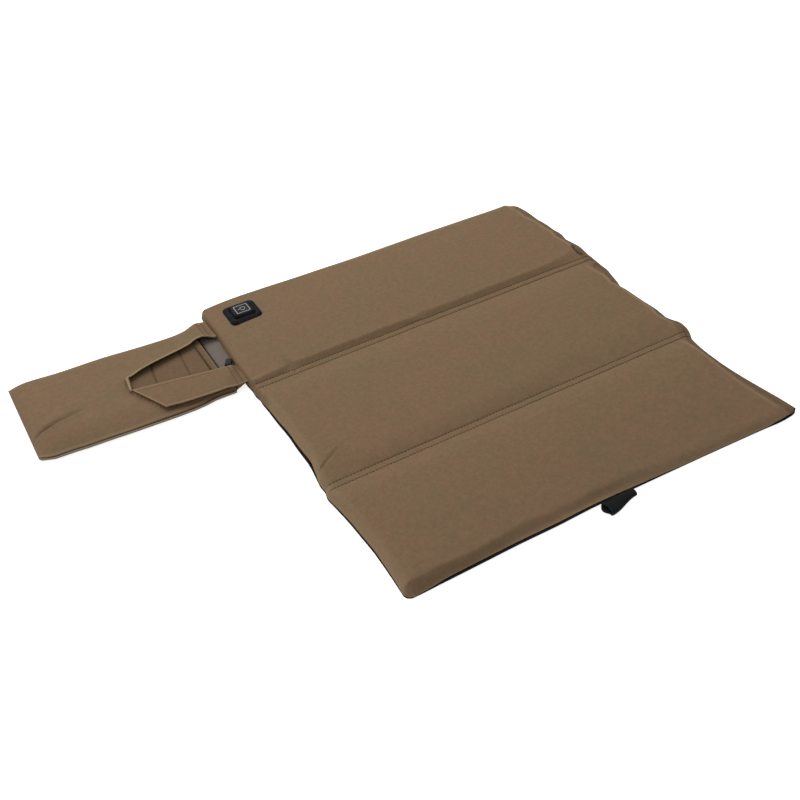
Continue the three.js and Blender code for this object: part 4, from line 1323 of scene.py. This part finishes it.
# %% Pouch outline
POUCH_LEFT = -356.4
POUCH_CUT = -188.0
MOUTH_LEFT = -265.2
pouch_front = along([(-356, 84), (-350, 81.2), (-343, 79.2), (-330, 78.6), (-317, 77.2), (-300, 76.3),
                     (-284, 75.1), (-265, 74.0), (-250, 73.2), (-235, 72.6), (-222, 72.6), (-210, 74.4),
                     (-204, 75.2), (-198, 75.0), (-192, 74.2), (-186, 75.2), (-180, 78.0), (-174, 81.0)])
pouch_rear = along([(-356, 186.0), (-351, 187.8), (-341, 188.6), (-310, 185.9), (-275, 184.4),
                    (-238, 180.2), (-210, 178.4), (-198, 179.8), (-190, 183.4), (-183, 187.0),
                    (-176, 189.2)])
mouth_front = along([(-356, 112), (-320, 114), (-290, 115.4), (-266, 116.8), (-255, 116.4), (-242, 114.2),
                     (-216, 108.6), (-188, 103.5), (-176, 101.6)])
mouth_rear = along([(-356, 148), (-320, 146), (-290, 141), (-270, 137.2), (-262, 136.6), (-250.3, 140.6),
                    (-230.7, 144.6), (-210.6, 148.2), (-201, 150.8), (-195, 154.4), (-190, 155.6),
                    (-184, 154.6), (-176, 153.2)])
POUCH_TOP = 9.6
POUCH_SEAM = 4.8
WRINKLE = [(-354.1, 105.6), (-346.4, 109.4), (-338.6, 112), (-330.7, 114.4), (-321.1, 115.9), (-306, 117)]
pouch_relief = dapple(63, 34.0)
LIP_SHADE = [(-266.6, 133), (-267.6, 116.5), (-265.8, 113.4), (-249.4, 80.6), (-232.6, 77.2), (-211.1, 75.4),
             (-190, 75)]


def pouch_height(x, y):
    """The face's top, in mm: a shallow roll at the outline, lifted at the mouth's rim."""
    x, y = np.broadcast_arrays(np.asarray(x, float), np.asarray(y, float))
    to_front, to_rear = y - pouch_front(x), pouch_rear(x) - y
    rise = swell(to_front, 26, 1.6) * swell(to_rear, 10, 2.4) * swell(x - POUCH_LEFT, 15, 2.2)
    height = POUCH_SEAM + (POUCH_TOP - POUCH_SEAM) * rise
    rear_lift = 1.9 * np.exp(-np.clip(y - mouth_rear(x), 0, 99) / 9) * step((x + 285) / 30)
    low_strip = step((x + 272) / 12) * step((mouth_front(x) + 3 - y) / 6)
    front_drop = np.clip(height - (5.0 + 0.17 * np.clip(to_front, 0, 14)), 0, 9) * low_strip
    wrinkle = crease(x, y, WRINKLE[::-1], 2.2, 1.0, 1.9)
    billow = 0.35 * np.sin(x / 23.0 + y / 31.0) * rise + 0.22 * pouch_relief(x, y) * rise
    return height + rear_lift * rise ** 0.5 - front_drop + wrinkle + billow


pouch_middle = np.linspace(POUCH_LEFT, POUCH_CUT, 5)[2]
print("pouch depth mm", round(float(pouch_rear(pouch_middle) - pouch_front(pouch_middle)), 1))

# %% Pouch face
FACE_ACROSS = stations(POUCH_LEFT, POUCH_CUT, 1.8, (0.4, 1.0, 1.8, 2.8, 4.2, 6, 8, 10.5, 13))
front_rows = np.concatenate([(0, .012, .03, .06, .10, .15, .21, .28, .36), np.linspace(.42, 1, 14)])
middle_rows = np.linspace(0, 1, 14)[1:-1]
rear_rows = 1 - front_rows[::-1]
face_lines = [edge(FACE_ACROSS) for edge in (pouch_front, mouth_front, mouth_rear, pouch_rear)]
face_y = np.vstack([first + shares[:, None] * (second - first) for first, second, shares
                    in zip(face_lines, face_lines[1:], (front_rows, middle_rows, rear_rows))])
slant = 0.165 * np.clip(face_y - 126, -11, 11)
face_x = FACE_ACROSS + slant * hill(FACE_ACROSS - MOUTH_LEFT, 12)
face_z = pouch_height(face_x, face_y)
keep = np.ones((len(face_y) - 1, len(FACE_ACROSS) - 1), bool)
keep[len(front_rows) - 1:len(front_rows) + len(middle_rows), FACE_ACROSS[:-1] >= MOUTH_LEFT] = False
d, share = line_distance(face_x, face_y, WRINKLE)
from_front = face_y - pouch_front(face_x)
# Painted light on the face: a lighter line along its front edge, partly worn and partly painted highlight;
# painted shade in the seam below it, beside the wrinkle and in the gap under the lip.
face_light_and_shade = 0.6 * hill(from_front - 1.8, 1.0) - hill(from_front, 0.7)
face_light_and_shade = face_light_and_shade - 0.9 * hill(d - 0.6, 1.5) * step(share / 0.1) * step((0.9 - share) / 0.5)
d, share = line_distance(face_x, face_y, LIP_SHADE)
face_light_and_shade = np.clip(face_light_and_shade - 0.8 * hill(d, 1.0) - 0.25 * hill(d, 4.5), -1, 1)
face_faces = grid_faces(len(face_y), len(FACE_ACROSS), keep)
used = sorted({i for f in face_faces for i in f})
renumber = {old: new for new, old in enumerate(used)}
face_points = xyz(face_x, face_y, face_z).reshape(-1, 3)[used]
face = make_piece("pouch_face_canvas", face_points, [[renumber[i] for i in f] for f in face_faces], canvas,
                  face_light_and_shade.ravel()[used])
thicken(face, 0.9)
dress(face, "pouch", "brown_canvas", "pouch_face")
seam_xs = np.linspace(POUCH_LEFT + 2, POUCH_CUT, 120)
seam_route = xyz(seam_xs, pouch_front(seam_xs) - 0.25, POUCH_SEAM - 0.05)
# Painted shade: a thin dark thread tube stands for the shade in the groove of the face's front seam.
seam_shade_tube = tube("pouch_front_seam", seam_route, 0.42, 0.35, thread)
dress(seam_shade_tube, "pouch", "brown_canvas")
print("face points", len(used), "front seam length", round(route_length(seam_route), 1))

# %% [markdown]
# ## The pouch's back, lining strip and sleeve
# The back is grey lining cloth. It curls up at its edges to meet the face, which is why a pale line shows
# under the pouch's front edge; painted light also lightens that curled rim, which faces down into shade. A
# strip of the same cloth joins it to the pad and bends at two hinge lines.
# Inside the mouth lies a brown sleeve that grips the power bank: a flat tube of canvas with a stitched hem.

# %% Grey back
BACK_FLOOR = 0.05
BACK_RIM = POUCH_SEAM - 0.3


def curl(distance, width):
    """0 at an edge and 1 past its width, in a quarter round."""
    return np.sqrt(1 - (1 - np.clip(distance / width, 0, 1)) ** 2)


edge_shares = np.array((0, 0.0015, 0.005, 0.011, 0.019, 0.03, 0.06))
back_shares = np.concatenate([edge_shares, np.linspace(0.12, 0.88, 9), 1 - edge_shares[::-1]])[:, None]
back_xs = stations(POUCH_LEFT - 0.3, POUCH_CUT, 9.0, (0.15, 0.5, 1.1, 1.9, 2.8), ())
back_front, back_rear = pouch_front(back_xs) - 0.4, pouch_rear(back_xs) + 0.3
back_y = back_front + back_shares * (back_rear - back_front)
flat = curl(np.minimum(back_y - back_front, back_rear - back_y), 3.2) * curl(back_xs - back_xs[0], 2.6)
back_z = BACK_RIM - (BACK_RIM - BACK_FLOOR) * flat
# Painted light: the rim where the back curls up is lightened.
back = cloth_piece("pouch_back_lining", xyz(back_xs, back_y, back_z), grey_cloth, 0.7, step(back_z - 0.3),
                   flip=True)
dress(back, "pouch", "grey_lining", "pouch_back")
print("back points", back_y.size)

# %% Joining strip
POUCH_HINGES = (-185.42, -176.42)
STRIP_MIDDLE = sum(POUCH_HINGES) / 2
STRIP_REACH = 2.0
PAD_SIDE = -174.5


def strip_pair(kind, slot, shape, low, high, *nodes):
    """Two short parts beside each other over the strip, one beside each hinge line.

    shape(name, low, high) makes a part, and the first part stands for the CAD nodes."""
    ends = (("outer", low, STRIP_MIDDLE, ("pouch", "pouch_strip")),
            ("inner", STRIP_MIDDLE, high, ("pouch_strip", "rear_panel")))
    for (part, start, stop, bodies), hinge in zip(ends, POUCH_HINGES):
        piece = shape(f"{kind}_{part}", start, stop)
        bend(piece, 0, hinge, STRIP_REACH)
        dress(piece, None, slot, *(nodes if part == "outer" else ()))


def strip_lining(name, low, high):
    """Grey cloth between the pouch and the pad's side seam."""
    x, y = np.meshgrid(np.linspace(low, high, 13), np.linspace(81, 185, 30))
    z = 3.9 + 0.45 * np.sin((x - POUCH_CUT) / 12.0 * np.pi) + 0.08 * np.sin(y / 3.7)
    # Painted shadow along the slit beside the sleeve's open end.
    return cloth_piece(name, xyz(x, y, z), grey_cloth, 0.8, -hill(x + 189.1, 0.9))


strip_pair("pouch_strip_lining", "grey_lining", strip_lining, POUCH_CUT - 0.9, PAD_SIDE, "pouch_strip")
print("strip is mm wide", PAD_SIDE - POUCH_CUT)

# %% Sleeve
sleeve_low, sleeve_high = box_mm("pouch_sleeve")
SLEEVE_FLOOR = 2.0
SLEEVE_MOUTH = sleeve_high[0] + 0.7
SLEEVE_SEAMS = {"hem": ((-197.2, 146), (-196.8, 106), 0.2, 2.2),
                "seam": ((-212.3, 146), (-215.4, 106), 0.35, 0.4),
                "double": ((-239.8, 146), (-244.6, 106), 0.55, 0.7)}
sleeve_relief = dapple(77, 26.0)


def squared(wave, power):
    """A sine or cosine with its round corners pushed out."""
    return np.sign(wave) * np.abs(wave) ** power


def sleeve_top(x, y):
    """The top of the sleeve before its seams are drawn in."""
    return 6.4 + 0.25 * np.sin(x / 9.0) + 0.25 * sleeve_relief(x, y)


def seam_x(y, start, stop):
    """Where a slanting seam lies at y."""
    return start[0] + (stop[0] - start[0]) * (y - start[1]) / (stop[1] - start[1])


sleeve_xs = np.unique(np.concatenate([np.linspace(sleeve_low[0], -250, 24), np.arange(-250, -191, 0.8),
                                      [SLEEVE_MOUTH]]))
turns = circle_turns(72)
sleeve_x, turn_grid = np.meshgrid(sleeve_xs, turns, indexing="ij")
near_tip = step((6 - (sleeve_x - sleeve_low[0])) / 6)
half_width = (sleeve_high[1] - sleeve_low[1]) / 2 - 2.2 * near_tip
sleeve_y = (sleeve_high[1] + sleeve_low[1]) / 2 + half_width * squared(np.cos(turn_grid), 0.35)
upper = sleeve_top(sleeve_x, sleeve_y)
half_height = (upper - SLEEVE_FLOOR) / 2 - 1.2 * near_tip
sleeve_z = (upper + SLEEVE_FLOOR) / 2 + half_height * squared(np.sin(turn_grid), 0.6)
# The open end is lighter, a worn hem with a painted highlight; painted shade darkens the seams.
sleeve_light_and_shade = 0.6 * np.exp(-(SLEEVE_MOUTH - sleeve_x) / 0.9)
for start, stop, depth, _ in SLEEVE_SEAMS.values():
    groove = hill(sleeve_x - seam_x(sleeve_y, start, stop), 0.8)
    sleeve_z = sleeve_z - depth * groove * (np.sin(turn_grid) > 0)
    sleeve_light_and_shade = sleeve_light_and_shade - depth * 2.4 * groove
sleeve_faces = grid_faces(len(sleeve_xs), len(turns), wrap=True, flip=True)
sleeve = make_piece("pouch_sleeve_canvas", xyz(sleeve_x, sleeve_y, sleeve_z), sleeve_faces, canvas_inside,
                    np.clip(sleeve_light_and_shade, -1, 1))
thicken(sleeve, 0.8)
dress(sleeve, "pouch", "brown_canvas", "pouch_sleeve")
ys = np.linspace(108, 150, 90)
for label, (start, stop, _, size) in SLEEVE_SEAMS.items():
    xs = seam_x(ys, start, stop)
    sunk, yarn = (0.2, brightened_hem_thread) if label == "hem" else (0.4, thread)
    line = stitch_row(f"sleeve_stitches_{label}", xyz(xs, ys, sleeve_top(xs, ys) - sunk), yarn,
                      pitch=3.2, length=2.5, thick=size, lift=0.2 + 0.3 * size)
    dress(line, "pouch", "brown_canvas")
print("sleeve length", round(sleeve_high[0] - sleeve_low[0], 1))

# %% [markdown]
# ## The lip and the rear band
# Two brown bands run from the pouch over the strip to the pad's side seam: the lip along the front, a
# folded band that lifts off the face, and the end of the face behind the mouth. They cross both hinge
# lines, so each is cut into a part on the pouch and two short parts, one beside each hinge line.

# %% Lip
lip_upper = along([(-265.4, 117.8), (-252.4, 115.6), (-231.2, 111.6), (-215.4, 108.2), (-199.5, 105.0),
                   (-184.9, 102.8), (-176, 101.2)])
lip_lower = along([(-248.2, 80.6), (-232.6, 78.0), (-211.1, 76.2), (-200, 75.6), (-189.1, 75.6),
                   (-176, 78.6)])
LIP_TIP = -248.2
LIP_PEAK = -265.4
LIP_DEPTH = 30
LIP_ROWS = np.concatenate([(0, 0.012, 0.03), np.linspace(0.06, 0.94, 15), (0.97, 0.988, 1)])
LIP_STITCHES = {"upper": 0.9, "lower": 0.09}
HEM_LINES = (-184.6, -179.6)


def lip_point(a, b):
    """A point of the lip's top: a from 0 at its slanting end to 1 at the pad, b from lower to upper edge."""
    low_x = LIP_TIP + a * (PAD_SIDE - LIP_TIP)
    high_x = LIP_PEAK + a * (PAD_SIDE - LIP_PEAK)
    x = low_x + b * (high_x - low_x)
    low_y, high_y = lip_lower(low_x), lip_upper(high_x)
    y = low_y + b * (high_y - low_y)
    toward_pad = step((x + 198 - 17.5 * b) / (22 - 15.5 * b))
    bulge = 0.35 * np.sin(b * np.pi) + 0.2 * np.sin(x / 7.5) * b * (1 - b) * 4
    hems = sum(hill(x - line, 0.7) for line in HEM_LINES)
    return xyz(x, y, 11.1 - 0.35 * b + bulge - 4.3 * toward_pad - 0.35 * hems)


def lip_share(x):
    """The share along the lip at which its middle is at x."""
    low = (LIP_TIP + LIP_PEAK) / 2
    return (x - low) / (PAD_SIDE - low)


def lip_part(name, low, high, columns=16):
    """A part of the lip from one x to another along its middle."""
    a, b = np.meshgrid(np.linspace(lip_share(low), lip_share(high), columns), LIP_ROWS)
    points = lip_point(a, b)
    # Light along the edges and at the slanting end, worn with a painted highlight; painted shade in the
    # stitched rows and hem seams; the whole lip a little darker.
    wear_and_painted_light = np.exp(-np.minimum(b, 1 - b) * LIP_DEPTH / 0.8)
    if name == "pouch_lip_canvas":
        wear_and_painted_light = np.maximum(wear_and_painted_light, np.exp(-a * 75 / 0.8))
    stitched = 0.3 * sum(hill((b - row) * LIP_DEPTH, 0.5) for row in LIP_STITCHES.values())
    hems = 0.7 * sum(hill(points[..., 0] - line, 0.5) for line in HEM_LINES)
    return cloth_piece(name, points, canvas, 1.3, np.clip(wear_and_painted_light - stitched - hems - 0.12, -1, 1))


LIP_CUT = -188.5
lip = lip_part("pouch_lip_canvas", (LIP_TIP + LIP_PEAK) / 2, LIP_CUT, 60)
dress(lip, "pouch", "brown_canvas", "pouch_lip")
strip_pair("lip_end_canvas", "brown_canvas", lip_part, LIP_CUT, PAD_SIDE)
for label, b in LIP_STITCHES.items():
    route = lip_point(np.linspace(0.02, lip_share(LIP_CUT) - 0.01, 160), b)
    line = stitch_row(f"lip_stitches_{label}", route, pale_thread, 2.6, 2.0, 0.4)
    dress(line, "pouch", "brown_canvas")
print("lip stitches run mm", round(route_length(route), 1))

# %% Bands beside the mouth
BAND_SHARES = np.concatenate([(0, 0.015, 0.04), np.linspace(0.08, 0.8, 14), (0.88, 0.94, 0.98, 1.0)])
BAND_SHARES = BAND_SHARES[:, None]
BANDS = {"rear": (mouth_rear, pouch_rear, (-184.2, -179.4), 0.9),
         "front": (pouch_front, lip_upper, (-187.4, -187.4), 0.5)}


def band_part(name, low, high):
    """One end of the face beside the mouth, running down to the pad's side seam."""
    side = name.split("_")[0]
    near_edge, far_edge, lines, thick = BANDS[side]
    x = np.linspace(low, high, 18)
    y = near_edge(x) + BAND_SHARES * (far_edge(x) - near_edge(x))
    hems = sum(hill(x - line, 0.7) for line in lines)
    descent = step((x + 186) / 11)
    if side == "rear":
        z = pouch_height(x, y) - 3.8 * descent
    else:
        z = np.minimum(pouch_height(x, y), 5.6 - 0.5 * descent)
    # Light along the edges, worn with a painted highlight; painted shade in the hem seams.
    wear_and_painted_light = np.exp(-np.minimum(y - near_edge(x), far_edge(x) - y)) - 0.6 * hems
    return cloth_piece(name, xyz(x, y, z - 0.3 * hems), canvas, thick, np.clip(wear_and_painted_light, -1, 1))


for side in BANDS:
    strip_pair(f"{side}_band_canvas", "brown_canvas", band_part, POUCH_CUT, PAD_SIDE)
print("bands", list(BANDS))

# %% Mouth hem
rear_xs = np.linspace(POUCH_CUT, MOUTH_LEFT + 4, 44)
rear_level = pouch_height(rear_xs, mouth_rear(rear_xs) + 0.6) + 0.05
hem_end = np.array([(-262.6, 136.7), (-263.6, 136.0), (-264.2, 134.6), (-264.7, 131), (-265.5, 125),
                    (-266.2, 119), (-266.4, 116.2)])
end_level = rear_level[-1] + (11.0 - rear_level[-1]) * np.linspace(0.02, 1, len(hem_end)) ** 1.5
hem_route = np.vstack([xyz(rear_xs, mouth_rear(rear_xs), rear_level), xyz(*hem_end.T, end_level)])
# The whole hem is lightened: a worn edge with a painted highlight.
hem = tube("mouth_hem", hem_route, 1.0, 0.55, canvas, wear_and_painted_light=1.0)
dress(hem, "pouch", "brown_canvas")
print("mouth hem length", round(route_length(hem_route), 1))

# %% [markdown]
# ## The boot and the webbing loop
# A short charcoal boot holds the lead where it comes out of the pad's seam. At the front a loop of black
# webbing is sewn under the edge for carrying or hanging. Webbing is flat, so it is a bent strip with real
# thickness, open at its side, and its ribs come from the weave.

# %% Boot
BOOT_START = np.array((-177.8, 114.8, 7.0))
BOOT_STOP = np.array((-182.6, 106.4, 6.9))
BOOT_HALF_WIDTH = 3.0
BOOT_HALF_HEIGHT = 2.0
BOOT_RINGS = 13
BOOT_SIDES = 24
boot_across, _ = across_and_up(BOOT_STOP - BOOT_START)
turns = circle_turns(BOOT_SIDES)[:, None]
boot_section = (boot_across * BOOT_HALF_WIDTH * squared(np.cos(turns), 0.5)
                + np.array((0, 0, 1)) * BOOT_HALF_HEIGHT * squared(np.sin(turns), 0.5))
boot_rings = []
for i, t in enumerate(np.linspace(0, 1, BOOT_RINGS)):
    rounding = 0.3 + 0.7 * math.sqrt(max(0.0, 1 - max(0.0, (abs(t - 0.5) - 0.4) / 0.1) ** 2))
    groove = 0.08 * (i % 3 == 1)
    boot_rings.append(BOOT_START + t * (BOOT_STOP - BOOT_START) + boot_section * rounding * (1 - groove))
boot = make_piece("lead_boot", boot_rings, capped_faces(BOOT_RINGS, BOOT_SIDES), boot_rubber)
dress(boot, "pouch_strip", "plug_plastic", "lead_gland")
print("boot length mm", round(float(np.linalg.norm(BOOT_STOP - BOOT_START)), 1))

# %% Webbing loop
LOOP_X = (-11.9, 15.6)
LOOP_ROOT = -197.0
LOOP_FLOOR = 0.8
LOOP_BULGE = 2.8
LOOP_STEPS = 40
loop_out = along([(LOOP_X[0], -210.6), (LOOP_X[1], -203.4)])


def loop_profile(x):
    """The strip's middle line at x: out above, round the fold and back below, wider at the open end."""
    t = np.linspace(0, 1, LOOP_STEPS)
    open_end = ((LOOP_X[1] - x) / (LOOP_X[1] - LOOP_X[0])) ** 3
    radius = 1.65 + 0.5 * open_end
    turn = np.clip((t - 0.38) / 0.24, 0, 1) * np.pi
    reach = np.clip(np.minimum(t, 1 - t) / 0.38, 0, 1)
    y = LOOP_ROOT + (float(loop_out(x)) + radius - LOOP_ROOT) * reach - radius * np.sin(turn)
    top = 2.3 + (LOOP_FLOOR + 2 * radius - 2.3) * step(reach * 1.6)
    z = np.where(t < 0.38, top, LOOP_FLOOR + radius + radius * np.cos(turn))
    bulge = LOOP_BULGE * open_end * np.sin(np.pi * np.clip(reach * 1.1, 0, 1)) * step((t - 0.4) / 0.2)
    return xyz(x - bulge, y, z)


loop_grid = np.stack([loop_profile(x) for x in np.linspace(*LOOP_X, 24)], axis=1)
loop = cloth_piece("webbing_loop_strap", loop_grid, black_web, 1.1, flip=True, offset=0.0)
dress(loop, "webbing_loop", "black_webbing", "webbing_loop")
print("loop reaches", round(float(loop_grid[..., 1].min()), 1))

# %% [markdown]
# ## Finish
# At the end we print the size of the dressed model.

# %% Size and finish
low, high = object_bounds()
print("visual in mm", [round(v / MM, 1) for v in (*low, *high)])
